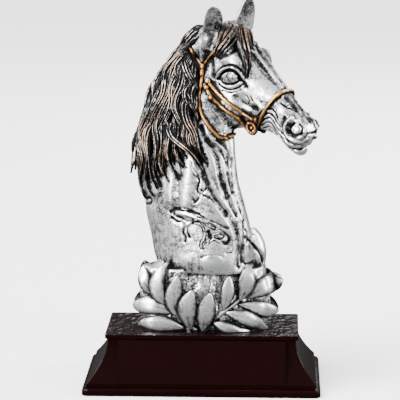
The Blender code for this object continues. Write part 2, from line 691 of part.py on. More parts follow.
def make_bust(collection):
    """The casting: its forms are fused into one skin, carved, thinned to few faces and set on the plinth."""
    bm = bmesh.new()
    add_block(bm)
    block = BVHTree.FromBMesh(bm)
    bare = bmesh.new()
    add_neck(bare)
    add_head(bare)
    skin_tree = BVHTree.FromBMesh(bare)
    bare.free()
    add_laurel(bm, block)
    add_neck(bm)
    add_head(bm)
    add_ears(bm)
    add_mane(bm, skin_tree)
    add_forelock(bm, skin_tree)
    add_bridle(bm, skin_tree)
    rough = bpy.data.meshes.new("bust_forms")
    bm.to_mesh(rough)
    bm.free()
    forms = new_object("bust_forms", rough, collection)
    fuse = forms.modifiers.new("fuse", "REMESH")
    fuse.mode = "VOXEL"
    fuse.voxel_size = VOXEL
    soften = forms.modifiers.new("soften", "SMOOTH")
    soften.factor = 0.5
    soften.iterations = 1
    skin = evaluated_mesh(forms)
    bpy.data.objects.remove(forms)
    keep_outer_skin(skin)
    carve(skin)
    bust = new_object("horse_bust", skin, collection)
    thin = bust.modifiers.new("thin", "DECIMATE")
    thin.ratio = BUST_TRIANGLES / (2 * len(skin.polygons))
    thinned = evaluated_mesh(bust)
    bust.modifiers.remove(thin)
    bust.data = thinned
    cut_seat(thinned)
    scale = HORSE_HEIGHT / DRAWN_HEIGHT * MM
    for vert in thinned.vertices:
        vert.co *= scale
        vert.co.z += (PLINTH_HEIGHT + SEAT_GAP) * MM
    thinned.materials.clear()
    thinned.materials.append(material("antique_silver", (0.45, 0.46, 0.48), 0.35, 0.9))
    return bust


def rounded_rectangle(half_x, half_y, corner, z, steps=4):
    """A ring of points round a rectangle with rounded corners."""
    ring = []
    for quarter in range(4):
        start = quarter * math.pi / 2
        sx = 1 if quarter in (0, 3) else -1
        sy = 1 if quarter in (0, 1) else -1
        for i in range(steps):
            a = start + i / (steps - 1) * math.pi / 2
            x = sx * (half_x - corner) + corner * math.cos(a)
            y = sy * (half_y - corner) + corner * math.sin(a)
            ring.append(Vector((x, y, z)))
    return ring


def cove_inset(share):
    """How far the cove stands out from its neck, with share 0 at its top and 1 at its foot."""
    return COVE_SPREAD * share**1.8


def make_plinth(collection):
    """Foot, band, cove and slab as one skin, with the flat panel joined to its front."""
    neck_x, neck_y = TOP_WIDTH / 2 - SLAB_LIP, TOP_DEPTH / 2 - SLAB_LIP
    band_x, band_y = neck_x + COVE_SPREAD, neck_y + COVE_SPREAD
    foot_x, foot_y = band_x + FOOT_STEP, band_y + FOOT_STEP
    rings = [rounded_rectangle(foot_x - 0.3, foot_y - 0.3, FOOT_CORNER, 0.0)]
    rings.append(rounded_rectangle(foot_x, foot_y, FOOT_CORNER, 0.3))
    for i in range(5):
        a = i / 4 * math.pi / 2
        inset = FOOT_ROUND * (1 - math.cos(a))
        z = FOOT_HEIGHT - FOOT_ROUND + FOOT_ROUND * math.sin(a)
        rings.append(rounded_rectangle(foot_x - inset, foot_y - inset, FOOT_CORNER, z))
    cove_foot = FOOT_HEIGHT + BAND_HEIGHT
    rings.append(rounded_rectangle(band_x, band_y, COVE_CORNER, FOOT_HEIGHT))
    cove_steps = 8
    for i in range(cove_steps + 1):
        share = 1 - i / cove_steps
        spread = cove_inset(share)
        z = cove_foot + COVE_HEIGHT * (1 - share)
        rings.append(rounded_rectangle(neck_x + spread, neck_y + spread, COVE_CORNER, z))
    slab_foot = cove_foot + COVE_HEIGHT
    edge = 0.25 * SLAB_THICKNESS
    slab_top = (0, PLINTH_HEIGHT - edge / 2), (edge / 2, PLINTH_HEIGHT)
    for inset, z in ((edge, slab_foot), (0, slab_foot + edge), *slab_top):
        ring = rounded_rectangle(TOP_WIDTH / 2 - inset, TOP_DEPTH / 2 - inset, SLAB_CORNER, z)
        rings.append(ring)
    bm = bmesh.new()
    loft(bm, rings)
    body = bpy.data.meshes.new("plinth")
    bm.to_mesh(body)
    bm.free()
    plinth = new_object("plinth", body, collection)

    back = neck_y - 6
    side = [
        (-back, cove_foot + 0.2),
        (-(band_y + PANEL_PROUD / 9), cove_foot + 0.2),
        (-(neck_y + PANEL_PROUD), slab_foot - PANEL_DROP),
        (-back, slab_foot - PANEL_DROP),
    ]
    bm = bmesh.new()
    half = PANEL_WIDTH / 2
    loft(bm, [[Vector((x, y, z)) for y, z in side] for x in (-half, half)])
    bmesh.ops.recalc_face_normals(bm, faces=bm.faces)
    panel_mesh = bpy.data.meshes.new("panel")
    bm.to_mesh(panel_mesh)
    bm.free()
    panel = new_object("panel", panel_mesh, collection)
    join = plinth.modifiers.new("panel", "BOOLEAN")
    join.operation = "UNION"
    join.object = panel
    joined = evaluated_mesh(plinth)
    plinth.modifiers.remove(join)
    plinth.data = joined
    bpy.data.objects.remove(panel)
    for vert in joined.vertices:
        vert.co *= MM
    joined.materials.clear()
    joined.materials.append(material("mahogany_plastic", (0.045, 0.008, 0.010), 0.2, 0.0))
    return plinth


def main():
    for obj in list(bpy.data.objects):
        bpy.data.objects.remove(obj)
    collection = bpy.data.collections.new("horse_trophy")
    bpy.context.scene.collection.children.link(collection)
    make_plinth(collection)
    make_bust(collection)


main()
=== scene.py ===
# %% [markdown]
# # A cast horse head on a moulded plinth
# The trophy is a resin casting of a bridled horse, painted silver, washed with black and wiped, so that the
# paint stays dark in every hollow. It stands on a glossy plastic plinth. This lesson dresses the plain
# solids of the model: first the view, then the skin of the horse, its hair, its bridle and its laurel, and
# last the finishes.

# %% Load the frame
import json
import math

import bmesh
import bpy
import numpy as np
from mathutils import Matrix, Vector, noise
from mathutils.bvhtree import BVHTree

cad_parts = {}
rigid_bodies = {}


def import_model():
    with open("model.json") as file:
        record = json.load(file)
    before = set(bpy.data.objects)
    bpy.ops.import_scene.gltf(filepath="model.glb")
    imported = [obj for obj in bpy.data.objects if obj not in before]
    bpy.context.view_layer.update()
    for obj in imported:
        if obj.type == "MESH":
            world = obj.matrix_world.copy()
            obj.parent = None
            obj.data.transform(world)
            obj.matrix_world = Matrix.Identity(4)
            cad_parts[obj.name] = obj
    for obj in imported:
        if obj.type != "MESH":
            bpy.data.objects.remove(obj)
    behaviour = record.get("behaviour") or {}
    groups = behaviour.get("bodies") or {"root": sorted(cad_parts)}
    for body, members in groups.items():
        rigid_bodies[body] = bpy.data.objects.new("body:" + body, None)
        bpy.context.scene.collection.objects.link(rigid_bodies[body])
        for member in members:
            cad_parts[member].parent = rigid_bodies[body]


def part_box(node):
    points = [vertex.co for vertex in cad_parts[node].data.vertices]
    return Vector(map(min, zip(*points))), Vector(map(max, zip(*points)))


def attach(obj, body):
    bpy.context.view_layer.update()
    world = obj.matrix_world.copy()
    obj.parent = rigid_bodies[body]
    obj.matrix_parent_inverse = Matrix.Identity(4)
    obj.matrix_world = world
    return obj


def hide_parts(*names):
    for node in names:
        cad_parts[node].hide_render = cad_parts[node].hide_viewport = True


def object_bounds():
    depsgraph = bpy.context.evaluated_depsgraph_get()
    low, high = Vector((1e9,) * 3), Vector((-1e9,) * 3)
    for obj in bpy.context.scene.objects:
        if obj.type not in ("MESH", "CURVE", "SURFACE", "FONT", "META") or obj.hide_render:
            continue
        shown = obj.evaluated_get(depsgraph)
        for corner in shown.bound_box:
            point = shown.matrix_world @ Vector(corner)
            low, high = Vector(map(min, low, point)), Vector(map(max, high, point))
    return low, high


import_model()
CAD_BOX = [list(corner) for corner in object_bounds()]
print("solids reach from", CAD_BOX[0], "to", CAD_BOX[1])

# %% [markdown]
# ## The view
# A photograph of goods is taken from far away with a long lens, so that upright edges stay nearly parallel.
# The camera here stands over a metre away, a little to the right and looking down by eleven degrees. The
# studio is a pale floor with wide soft lamps. Metal paint shows only what it reflects, so the lamps are
# large, the room is bright above and to the left and dim low down, and the floor is kept out of the
# reflections, as with black card laid round the object. That gives the silver its contrast.

# %% Camera
CAMERA_PLACE = (0.0403, -1.1345, 0.3196)
CAMERA_DOWN = 11.0
CAMERA_TURN = 2.12
# focal length and picture width in points of the picture, and the width of the sensor in mm
FOCUS = 2160.0
PICTURE = 400.0
SENSOR = 36.0


def make_camera():
    lens = bpy.data.cameras.new("view")
    lens.sensor_width = SENSOR
    lens.lens = FOCUS * SENSOR / PICTURE
    lens.clip_start = 0.01
    lens.clip_end = 20.0
    camera = bpy.data.objects.new("view", lens)
    bpy.context.scene.collection.objects.link(camera)
    camera.location = CAMERA_PLACE
    camera.rotation_euler = (math.radians(90 - CAMERA_DOWN), 0, math.radians(CAMERA_TURN))
    bpy.context.scene.camera = camera


make_camera()
print("camera with a lens of", round(FOCUS * SENSOR / PICTURE), "mm")

# %% Floor and lamps
# name, place, what it is aimed at, width and height, power
LAMPS = (
    ("key", (-0.80, -0.70, 0.34), (0.0, 0.0, 0.12), (0.26, 0.62), 24.0),
    ("fill", (0.78, -0.72, 0.30), (0.0, 0.0, 0.12), (0.20, 0.55), 9.0),
    ("rim", (0.80, 0.10, 0.40), (0.0, 0.0, 0.12), (0.20, 0.7), 12.0),
    ("left", (-0.75, 0.15, 0.30), (0.0, 0.0, 0.10), (0.20, 0.6), 4.0),
    ("back", (0.25, 0.95, 0.85), (0.0, 0.0, 0.12), (0.50, 0.50), 16.0),
)
SUN_STRENGTH = 10.0
SUN_WIDTH = 40.0
SUN_TURN = (37.0, 0.0, -66.0)
# the room gets brighter along this direction, over this span, from the dim to the bright level
ROOM_SLOPE = (-0.17, -0.32, 0.9)
ROOM_SPAN = (-0.35, 0.9)
ROOM_LEVELS = (0.11, 0.95)


def make_floor():
    bm = bmesh.new()
    bmesh.ops.create_grid(bm, x_segments=1, y_segments=1, size=8.0)
    mesh = bpy.data.meshes.new("floor")
    bm.to_mesh(mesh)
    bm.free()
    floor = bpy.data.objects.new("floor", mesh)
    bpy.context.scene.collection.objects.link(floor)
    paint = bpy.data.materials.new("pale_floor")
    paint.use_nodes = True
    shader = paint.node_tree.nodes["Principled BSDF"]
    shader.inputs["Base Color"].default_value = (0.9, 0.9, 0.9, 1)
    shader.inputs["Roughness"].default_value = 0.8
    mesh.materials.append(paint)
    floor.visible_glossy = False


def make_lamps():
    for name, place, aim, (wide, high), power in LAMPS:
        lamp = bpy.data.lights.new(name, "AREA")
        lamp.shape = "RECTANGLE"
        lamp.size = wide
        lamp.size_y = high
        lamp.energy = power
        holder = bpy.data.objects.new(name, lamp)
        bpy.context.scene.collection.objects.link(holder)
        holder.location = place
        holder.rotation_euler = (Vector(aim) - Vector(place)).to_track_quat("-Z", "Y").to_euler()
    sky = bpy.data.lights.new("skylight", "SUN")
    sky.energy = SUN_STRENGTH
    sky.angle = math.radians(SUN_WIDTH)
    holder = bpy.data.objects.new("skylight", sky)
    bpy.context.scene.collection.objects.link(holder)
    holder.rotation_euler = [math.radians(a) for a in SUN_TURN]
    world = bpy.data.worlds.new("studio")
    bpy.context.scene.world = world
    world.use_nodes = True
    nodes, links = world.node_tree.nodes, world.node_tree.links
    nodes["Background"].inputs["Color"].default_value = (1, 1, 1, 1)
    slope = nodes.new("ShaderNodeVectorMath")
    slope.operation = "DOT_PRODUCT"
    slope.inputs[1].default_value = ROOM_SLOPE
    links.new(nodes.new("ShaderNodeTexCoord").outputs["Generated"], slope.inputs[0])
    level = nodes.new("ShaderNodeMapRange")
    level.interpolation_type = "SMOOTHSTEP"
    for name, value in zip(("From Min", "From Max", "To Min", "To Max"), ROOM_SPAN + ROOM_LEVELS):
        level.inputs[name].default_value = value
    links.new(slope.outputs["Value"], level.inputs["Value"])
    links.new(level.outputs["Result"], nodes["Background"].inputs["Strength"])


make_floor()
make_lamps()
print("lamps:", ", ".join(row[0] for row in LAMPS), "and a skylight")

# %% [markdown]
# ## Working sizes
# The figure is worked out in millimetres above its own seat, the top of the plinth, and moved to its place
# at the end. Three guides carry the whole sculpture: a smooth curve through a few chosen points, the
# head's own frame, and the front drawing, on which hair, straps and leaves are laid out as they are seen.
# The drawing is 400 points wide, x to the right and y down, and is carried back onto the form from the
# camera's place.

# %% Guides
MM = 0.001
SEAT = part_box("horse_bust")[0][2] / MM

LEVEL = (Vector((1, 0, 0)), Vector((0, 1, 0)), Vector((0, 0, 1)))

# the top of the head between the ears, and how the head is turned, bent down and leant over
POLL = Vector((10.5, 4.7, 160.8))
HEAD_YAW = math.radians(38)
HEAD_PITCH = math.radians(36)
HEAD_ROLL = math.radians(3)

# the camera in the figure's millimetres, and how far from it the figure lies
EYE = Vector((CAMERA_PLACE[0] / MM, CAMERA_PLACE[1] / MM, CAMERA_PLACE[2] / MM - SEAT))
REACH = (1100.0, 1240.0)


def smooth_rows(rows, count):
    """A smooth curve through rows of numbers, sampled evenly from the first row to the last."""
    rows = np.asarray(rows, float)
    padded = np.vstack([2 * rows[0] - rows[1], rows, 2 * rows[-1] - rows[-2]])
    place = np.linspace(0, len(rows) - 1, count)
    first = np.minimum(place.astype(int), len(rows) - 2)
    f = (place - first)[:, None]
    a, b, c, d = (padded[first + i] for i in range(4))
    return 0.5 * (2 * b + (c - a) * f + (2 * a - 5 * b + 4 * c - d) * f**2 + (3 * b - a - 3 * c + d) * f**3)


def head_axes():
    """The directions from poll to muzzle, out of the forehead, and to the far side."""
    forward = Vector((math.cos(HEAD_YAW), -math.sin(HEAD_YAW), 0))
    side = Vector((math.sin(HEAD_YAW), math.cos(HEAD_YAW), 0))
    up = Vector((0, 0, 1))
    u = forward * math.cos(HEAD_PITCH) - up * math.sin(HEAD_PITCH)
    v = forward * math.sin(HEAD_PITCH) + up * math.cos(HEAD_PITCH)
    w = side * math.cos(HEAD_ROLL) + v * math.sin(HEAD_ROLL)
    return u, v * math.cos(HEAD_ROLL) - side * math.sin(HEAD_ROLL), w


U, V, W = head_axes()


def on_head(u, v, w):
    return POLL + U * u + V * v + W * w


def far_side(place):
    """The same point on the other side of the head."""
    return place - W * (2 * (place - POLL).dot(W))


def sight(x, y):
    """The line of sight through a point of the front drawing, x to the right and y down."""
    turn, down = math.radians(CAMERA_TURN), math.radians(-CAMERA_DOWN)
    right = Vector((math.cos(turn), math.sin(turn), 0))
    level = Vector((-math.sin(turn), math.cos(turn), 0))
    ahead = level * math.cos(down) + Vector((0, 0, math.sin(down)))
    up = right.cross(ahead)
    return (ahead * FOCUS + right * (x - PICTURE / 2) + up * (PICTURE / 2 - y)).normalized()


def seen_on(tree, x, y, out=0.0):
    """The point of a skin that is seen at x, y of the drawing, and the skin's normal there.

    A line of sight that passes beside the skin gives its point closest to the skin, moved in a little.
    """
    line = sight(x, y)
    place, normal, _, _ = tree.ray_cast(EYE, line)
    if place is None:
        tries = []
        for far in np.arange(*REACH, 2.0):
            _, side, _, gap = tree.find_nearest(EYE + line * far)
            tries.append((gap, far, side))
        gap, far, normal = min(tries, key=lambda found: found[0])
        place = EYE + line * far - normal * min(gap, 2.0)
    return place + normal * out, normal


def seen_path(tree, drawn, outs, count, calm=2):
    """A drawn path laid on a skin: its points and its outward directions."""
    rows = []
    for (x, y), out in zip(smooth_rows(drawn, count), np.interp(np.linspace(0, 1, count), *outs)):
        place, normal = seen_on(tree, x, y, out)
        rows.append((*place, *normal))
    rows = np.array(rows)
    for _ in range(calm):
        rows[1:-1] = 0.25 * rows[:-2] + 0.5 * rows[1:-1] + 0.25 * rows[2:]
    return [Vector(row[:3]) for row in rows], [Vector(row[3:]) for row in rows]


def laid_on(tree, places, out, calm=3):
    """A path in space drawn onto the nearest skin: its points and its outward directions."""
    places = [Vector(place) for place in places]
    for _ in range(calm):
        places = [tree.find_nearest(place)[0] for place in places]
        middles = [(a + b * 2 + c) / 4 for a, b, c in zip(places, places[1:], places[2:])]
        places = [places[0], *middles, places[-1]]
    found = [tree.find_nearest(place)[:2] for place in places]
    return [place + normal * out for place, normal in found], [normal for _, normal in found]


print("seat at", round(SEAT, 2), "mm; quick look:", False)

# %% [markdown]
# ## Making forms
# Most forms here are tubes: a grid rolled up, its seam welded and its two ends closed. The rings of points
# decide what the tube is: a skull, an ear, a lock of hair or a leaf. Balls fill out cheeks and brows.

# %% Tube and ball
def tube(bm, rings, marks=None):
    """A closed tube through rings of points. marks gives each point a number, kept in the layer 'mark'."""
    sides = len(rings[0])
    made = bmesh.ops.create_grid(bm, x_segments=sides, y_segments=len(rings) - 1, size=1.0)["verts"]
    layer = bm.verts.layers.float["mark"] if marks is not None else None
    for k, vert in enumerate(made):
        j, i = divmod(k, sides + 1)
        vert.co = rings[j][i % sides]
        if layer is not None:
            vert[layer] = marks[j][i % sides]
    bmesh.ops.remove_doubles(bm, verts=made, dist=0.00001)


def close_and_face_out(bm):
    bmesh.ops.holes_fill(bm, edges=[edge for edge in bm.edges if edge.is_boundary])
    bmesh.ops.recalc_face_normals(bm, faces=bm.faces)


def ball(bm, place, sizes, axes, detail=14):
    """A ball stretched to three radii along three directions."""
    made = bmesh.ops.create_uvsphere(bm, u_segments=2 * detail, v_segments=detail, radius=1.0)
    layer = bm.verts.layers.float.get("mark")
    for vert in made["verts"]:
        if layer is not None:
            vert[layer] = max(0.0, vert.co.z) ** 0.7
        shift = sum((axis * (size * c) for axis, size, c in zip(axes, sizes, vert.co)), Vector())
        vert.co = Vector(place) + shift


def cord_rings(centres, outwards, sizes, sides=12):
    """Rings of a flattened tube along a path; sizes gives half width and half thickness."""
    rings = []
    last = len(centres) - 1
    turns = np.linspace(0, 2 * math.pi, sides, endpoint=False)
    for i, (centre, outward, (wide, thick)) in enumerate(zip(centres, outwards, sizes)):
        along = (centres[min(i + 1, last)] - centres[max(i - 1, 0)]).normalized()
        off = (outward - along * outward.dot(along)).normalized()
        across = along.cross(off)
        rings.append([centre + across * (wide * math.cos(a)) + off * (thick * math.sin(a)) for a in turns])
    return rings


def cord(bm, centres, outwards, sizes, sides=12):
    """A flattened tube along a path; its marks are 1 on its back and 0 at its edges."""
    marks = None
    if bm.verts.layers.float.get("mark") is not None:
        marks = [[max(0.0, math.sin(a)) ** 0.8 for a in np.linspace(0, 2 * math.pi, sides, endpoint=False)]]
        marks *= len(centres)
    tube(bm, cord_rings(centres, outwards, sizes, sides), marks)


def tree_of(bm):
    return BVHTree.FromBMesh(bm)


def evaluated_mesh(obj):
    graph = bpy.context.evaluated_depsgraph_get()
    return bpy.data.meshes.new_from_object(obj.evaluated_get(graph))


def points_of(mesh, what="co"):
    values = np.empty(len(mesh.vertices) * 3)
    mesh.vertices.foreach_get(what, values)
    return values.reshape(-1, 3)


print("tube, ball and cord are ready")

# %% [markdown]
# ## Head
# A sculptor blocks a head out from cross-sections: forehead, jaw and the width at three heights, from the
# poll to the lips. Jowls, brows, eyeballs, nostrils and lips are added as rounded masses. An ear is a tube
# too, whose front half is turned inside out to make its hollow.

# %% Head forms
# u; heights v of the forehead line and the jaw line; half widths of nose, cheek and jaw; height of the cheek
HEAD_SECTIONS = (
    (-13, -12, -26, 4, 6.5, 4, -18),
    (-6, -4.2, -31, 5.5, 8.5, 5, -15),
    (4, 2.5, -34, 6.5, 10.5, 6, -13),
    (14, 3.8, -39, 8.5, 13.2, 7.6, -12),
    (22, 3.2, -42, 9.5, 14.0, 8.2, -11),
    (30, 2.2, -42.5, 9.0, 12.8, 8.2, -12),
    (38, 1.2, -38.5, 7.4, 11.2, 7.8, -12),
    (46, 0.4, -31, 6.4, 9.8, 7, -11),
    (54, -0.2, -25.6, 5.6, 8.8, 6, -10.5),
    (62, -1.5, -22.3, 5.2, 8.0, 5.3, -10),
    (70, -3.0, -22.6, 5.4, 8.2, 5.4, -10),
    (74.6, -4.1, -22.0, 5.0, 7.8, 5.0, -10),
    (77.8, -6.6, -18.6, 3.8, 5.6, 4.0, -11),
    (79.8, -10.5, -15, 1.6, 2.6, 1.8, -12),
)


def head_ring(u, top, bottom, nose, cheek, jaw, cheek_v, count=56, out=0.0):
    """One closed section of the head, round from the forehead line."""
    half = [
        (0.0, top),
        (0.62 * nose, top - 0.25),
        (nose, top - 1.6),
        (0.93 * cheek, 0.5 * (top + cheek_v)),
        (cheek, cheek_v - 2.5),
        (0.5 * (cheek + jaw) + 0.6, 0.5 * (cheek_v + bottom)),
        (jaw, bottom + 2.6),
        (0.5 * jaw, bottom + 0.3),
        (0.0, bottom),
    ]
    other = [(-w, v) for w, v in reversed(half[1:-1])]
    outline = smooth_rows((half + other) * 3, 3 * count + 1)[count : 2 * count]
    away = outline - np.array((0.0, 0.5 * (top + bottom)))
    outline = outline + away / np.linalg.norm(away, axis=1)[:, None] * out
    return [on_head(u, v, w) for w, v in outline]


HEAD_ROWS = smooth_rows(HEAD_SECTIONS, 105)


# rounded masses on both sides: place along the head, above it and beside it, then three radii
HEAD_MASSES = {
    "jowl": ((27, -27.5, 9.0), (15, 14.5, 5.8)),
    "brow": ((21.5, -3.0, 9.4), (10, 5.6, 6.0)),
    "eyeball": ((27.8, -8.0, 10.8), (4.7, 3.9, 4.7)),
    "cheekbone": ((42, -12.0, 8.8), (13, 1.8, 2.2)),
    "nostril": ((72.2, -7.4, 5.4), (5.8, 4.5, 3.9)),
}
LIPS = {
    "upper lip": ((75.2, -11.2, 0), (4.8, 5.2, 6.0)),
    "lower lip": ((75.6, -18.6, 0), (5.4, 3.5, 4.6)),
}


def add_head(bm):
    """Skull, cheeks, brows, eyes, muzzle and lips."""
    tube(bm, [head_ring(*row) for row in HEAD_ROWS])
    for side in (-1, 1):
        for (u, v, w), radii in HEAD_MASSES.values():
            ball(bm, on_head(u, v, w * side), radii, (U, V, W * side))
    for place, radii in LIPS.values():
        ball(bm, on_head(*place), radii, (U, V, W))


# which side; heading of the hollow in degrees from +X; sideways bow; how far the foot of the ear spreads
EARS = ((-1, -66, 1.6, 0.0), (1, -46, 1.2, 0.5))
EAR_BASE = ((0.5, -9.5, 12.0), (5.0, 8.0, 4.6))
EAR_ROOT = (5, -8.5, 11.6)
EAR_TIP = (-3.6, 14.4, 13.8)
# the far ear's tip stands higher by this, and the near one's lower
EAR_TIP_SHIFT = 0.7
EAR_FORWARD = 1.8

# share of the length; half width; depth of the back; depth of the hollow
EAR_SECTIONS = (
    (-0.34, 4.4, 4.6, 0.0),
    (-0.15, 4.6, 4.8, 0.0),
    (0.05, 5.4, 4.8, 1.4),
    (0.25, 6.0, 4.8, 3.2),
    (0.5, 6.0, 4.4, 3.2),
    (0.72, 5.4, 3.8, 2.6),
    (0.88, 4.3, 3.0, 1.7),
    (0.97, 2.8, 2.2, 0.6),
    (1.01, 1.2, 1.4, 0.0),
)


def add_ear_bases(bm):
    (u, v, w), radii = EAR_BASE
    for side, *_ in EARS:
        ball(bm, on_head(u, v, w * side), radii, (U, V, W * side))


def add_ears(bm):
    """Two pricked ears, each a cupped leaf on a rounded base."""
    add_ear_bases(bm)
    for side, heading, sway, spread in EARS:
        root = on_head(EAR_ROOT[0], EAR_ROOT[1], EAR_ROOT[2] * side)
        tip = on_head(EAR_TIP[0], EAR_TIP[1] + EAR_TIP_SHIFT * side, EAR_TIP[2] * side)
        axis = (tip - root).normalized()
        heading = math.radians(heading)
        front = Vector((math.cos(heading), math.sin(heading), 0))
        front = (front - axis * front.dot(axis)).normalized()
        across = axis.cross(front)
        length = (tip - root).length
        rings = []
        for share, wide, back, hollow in smooth_rows(EAR_SECTIONS, 41):
            bow = sway * math.sin(math.pi * min(max(share, 0.0), 1.0))
            centre = root + axis * (share * length) + W * bow
            broad = wide * (1 + spread * (1 - share) ** 2)
            ring = []
            for turn in np.linspace(0, 2 * math.pi, 44, endpoint=False):
                c, s = math.cos(turn), math.sin(turn)
                inward = -back * s if s > 0 else -hollow * (-s) ** 2.2
                ring.append(centre + across * (broad * c) + front * (inward + EAR_FORWARD))
            rings.append(ring)
        tube(bm, rings)


print("head sections:", len(HEAD_SECTIONS), "ears:", len(EARS))

# %% [markdown]
# ## Neck and chest
# The neck is an oval tube whose sections lean more and more from the chest to the poll. Two rounded
# muscles stand out low in front, with a furrow between them, and two long folds run down beside the
# windpipe.

# %% Neck forms
# x and z of the crest and of the throat as seen from the front, turn in degrees, half width
NECK_SECTIONS = (
    (-24.5, 31.5, 27, 31.5, 22, 17.0),
    (-27.3, 40, 26.6, 38, 22, 17.8),
    (-30.2, 54, 26.0, 50, 22, 17.0),
    (-32.3, 68, 23.2, 63, 23, 16),
    (-33.6, 82, 19.9, 76, 25, 14.5),
    (-33, 98, 17.9, 88, 28, 13),
    (-29.6, 114, 17, 99, 31, 12),
    (-23.6, 129.5, 16, 109, 34, 11.3),
    (-14.2, 144.5, 17, 117, 37, 10.8),
    (-3, 155, 19, 124, 38, 10),
    (7, 159.5, 22, 132, 38, 8.5),
)
NECK_ROWS = smooth_rows(NECK_SECTIONS, 161)


def on_neck(share, turn, out=0.0):
    """A point on the neck: share 0 at the block and 1 at the poll, turn in degrees round from the crest."""
    place = min(max(share, 0.0), 1.0) * (len(NECK_ROWS) - 1)
    low = min(int(place), len(NECK_ROWS) - 2)
    row = NECK_ROWS[low] + (NECK_ROWS[low + 1] - NECK_ROWS[low]) * (place - low)
    crest_x, crest_z, throat_x, throat_z, yaw, half_width = row
    yaw = math.radians(yaw)
    seen = 0.5 * (throat_x - crest_x)
    length = math.sqrt(seen**2 - (half_width * math.sin(yaw)) ** 2) / math.cos(yaw)
    middle = Vector((0.5 * (crest_x + throat_x), 3.5 * share, 0.5 * (crest_z + throat_z)))
    rise = (crest_z - throat_z) / (2 * seen)
    ahead = Vector((math.cos(yaw), -math.sin(yaw), -rise * math.cos(yaw)))
    near = Vector((-math.sin(yaw), -math.cos(yaw), 0))
    c, s = math.cos(math.radians(turn)), math.sin(math.radians(turn))
    narrowing = 1.0 - 0.12 * c
    return middle - ahead * ((length + out) * c) + near * ((half_width + out) * s * narrowing)


# the two muscles low in front, the near one first: place and radii
BREAST = (((8.5, -8.5, 44.5), (12, 10.5, 15.5)), ((23, 5, 38.5), (11, 8.8, 15.5)))

# the ridge beside the windpipe and the fold that runs down from the jaw, as drawn
FOLD_SIZE = (4.2, 3.0)
NECK_FOLDS = (
    ((203, 134), (208, 148), (214, 168), (222, 190), (230, 210), (236, 228), (240, 246)),
    ((216, 142), (222, 158), (227, 178), (233, 200), (240, 222)),
)


def add_neck(bm):
    """Neck and chest, cut off flat below."""
    turns = np.linspace(0, 360, 84, endpoint=False)
    tube(bm, [[on_neck(share, turn) for turn in turns] for share in np.linspace(0, 1, 96)])
    for place, radii in BREAST:
        ball(bm, place, radii, LEVEL, 22)
    tree = tree_of(bm)
    for drawn in NECK_FOLDS:
        centres, outwards = seen_path(tree, drawn, ((0, 1), (-2.4, -2.2)), 24)
        cord(bm, centres, outwards, [FOLD_SIZE] * len(centres), 20)


print("neck sections:", len(NECK_SECTIONS))

# %% [markdown]
# ## Block
# Under the chest the casting has a rough block, like a piece of rock, that carries the laurel. It is an
# oval drum with a rippled side, sunk a little into the seat and cut off flat there.

# %% Block form
BLOCK_HEIGHT = 32.5
BLOCK_ROOT = 2.5
BLOCK_X = 34.5
BLOCK_Y = 15.0
BLOCK_MIDDLE = 1.2
# a hump at the back, up to the neck: place and radii
BLOCK_HUMP = ((-22.5, -2, 30.0), (5.6, 8, 5.0))


def on_block(turn, z, out=0.0):
    """A point on the block's side: turn in degrees, 0 in front and 90 at the horse's front."""
    a = math.radians(turn)
    taper = 1.0 - 0.10 * max(0.0, 1 - max(z, 0) / 9.0) ** 2 - 0.06 * max(0.0, (z - 22) / 10.5) ** 2
    ripple = 1.0 + 0.025 * math.sin(5 * a + 0.11 * z) + 0.015 * math.sin(11 * a - 0.2 * z)
    c, s = math.cos(a), math.sin(a)
    x = math.copysign(abs(s) ** 0.85, s) * (BLOCK_X * taper * ripple + out)
    y = math.copysign(abs(c) ** 0.85, c) * (BLOCK_Y * taper * ripple + out)
    return Vector((BLOCK_MIDDLE + x, -y, z))


def add_block(bm):
    turns = np.linspace(0, 360, 120, endpoint=False)
    heights = np.linspace(-BLOCK_ROOT, BLOCK_HEIGHT, 28)
    tube(bm, [[on_block(turn, z) for turn in turns] for z in heights])
    ball(bm, *BLOCK_HUMP, LEVEL)


def skins():
    """The plain skins that hair, straps and leaves are laid on."""
    trees = []
    for forms in ((add_neck, add_head, add_ear_bases), (add_block,)):
        bm = bmesh.new()
        for add in forms:
            add(bm)
        close_and_face_out(bm)
        trees.append(tree_of(bm))
        bm.free()
    return trees


HORSE_SKIN, BLOCK_SKIN = skins()
print("block of", 2 * BLOCK_X, "by", 2 * BLOCK_Y, "by", BLOCK_HEIGHT, "mm")

# %% [markdown]
# ## One skin
# The forms overlap, so they are fused: a voxel remesh wraps all of them in one even skin, as clay would
# join. Its quads are small enough for the fine furrows that are pressed in afterwards, and at the end the
# calm areas are thinned out again.

# %% Fuse
VOXEL = 0.40
SKIN_TRIANGLES = 190000


def fuse(bm, voxel, calm=1):
    """One even skin over all the forms of a bmesh, without the pockets inside."""
    close_and_face_out(bm)
    rough = bpy.data.meshes.new("forms")
    bm.to_mesh(rough)
    forms = bpy.data.objects.new("forms", rough)
    bpy.context.scene.collection.objects.link(forms)
    wrap = forms.modifiers.new("wrap", "REMESH")
    wrap.mode = "VOXEL"
    wrap.voxel_size = voxel
    soften = forms.modifiers.new("soften", "SMOOTH")
    soften.factor = 0.5
    soften.iterations = calm
    mesh = evaluated_mesh(forms)
    bpy.data.objects.remove(forms)
    return outer_skin(mesh)


def outer_skin(mesh):
    bm = bmesh.new()
    bm.from_mesh(mesh)
    unseen = set(bm.verts)
    shells = []
    while unseen:
        shell = [unseen.pop()]
        for vert in shell:
            for edge in vert.link_edges:
                other = edge.other_vert(vert)
                if other in unseen:
                    unseen.remove(other)
                    shell.append(other)
        shells.append(shell)
    shells.sort(key=len)
    for shell in shells[:-1]:
        bmesh.ops.delete(bm, geom=shell, context="VERTS")
    bm.to_mesh(mesh)
    bm.free()
    return mesh


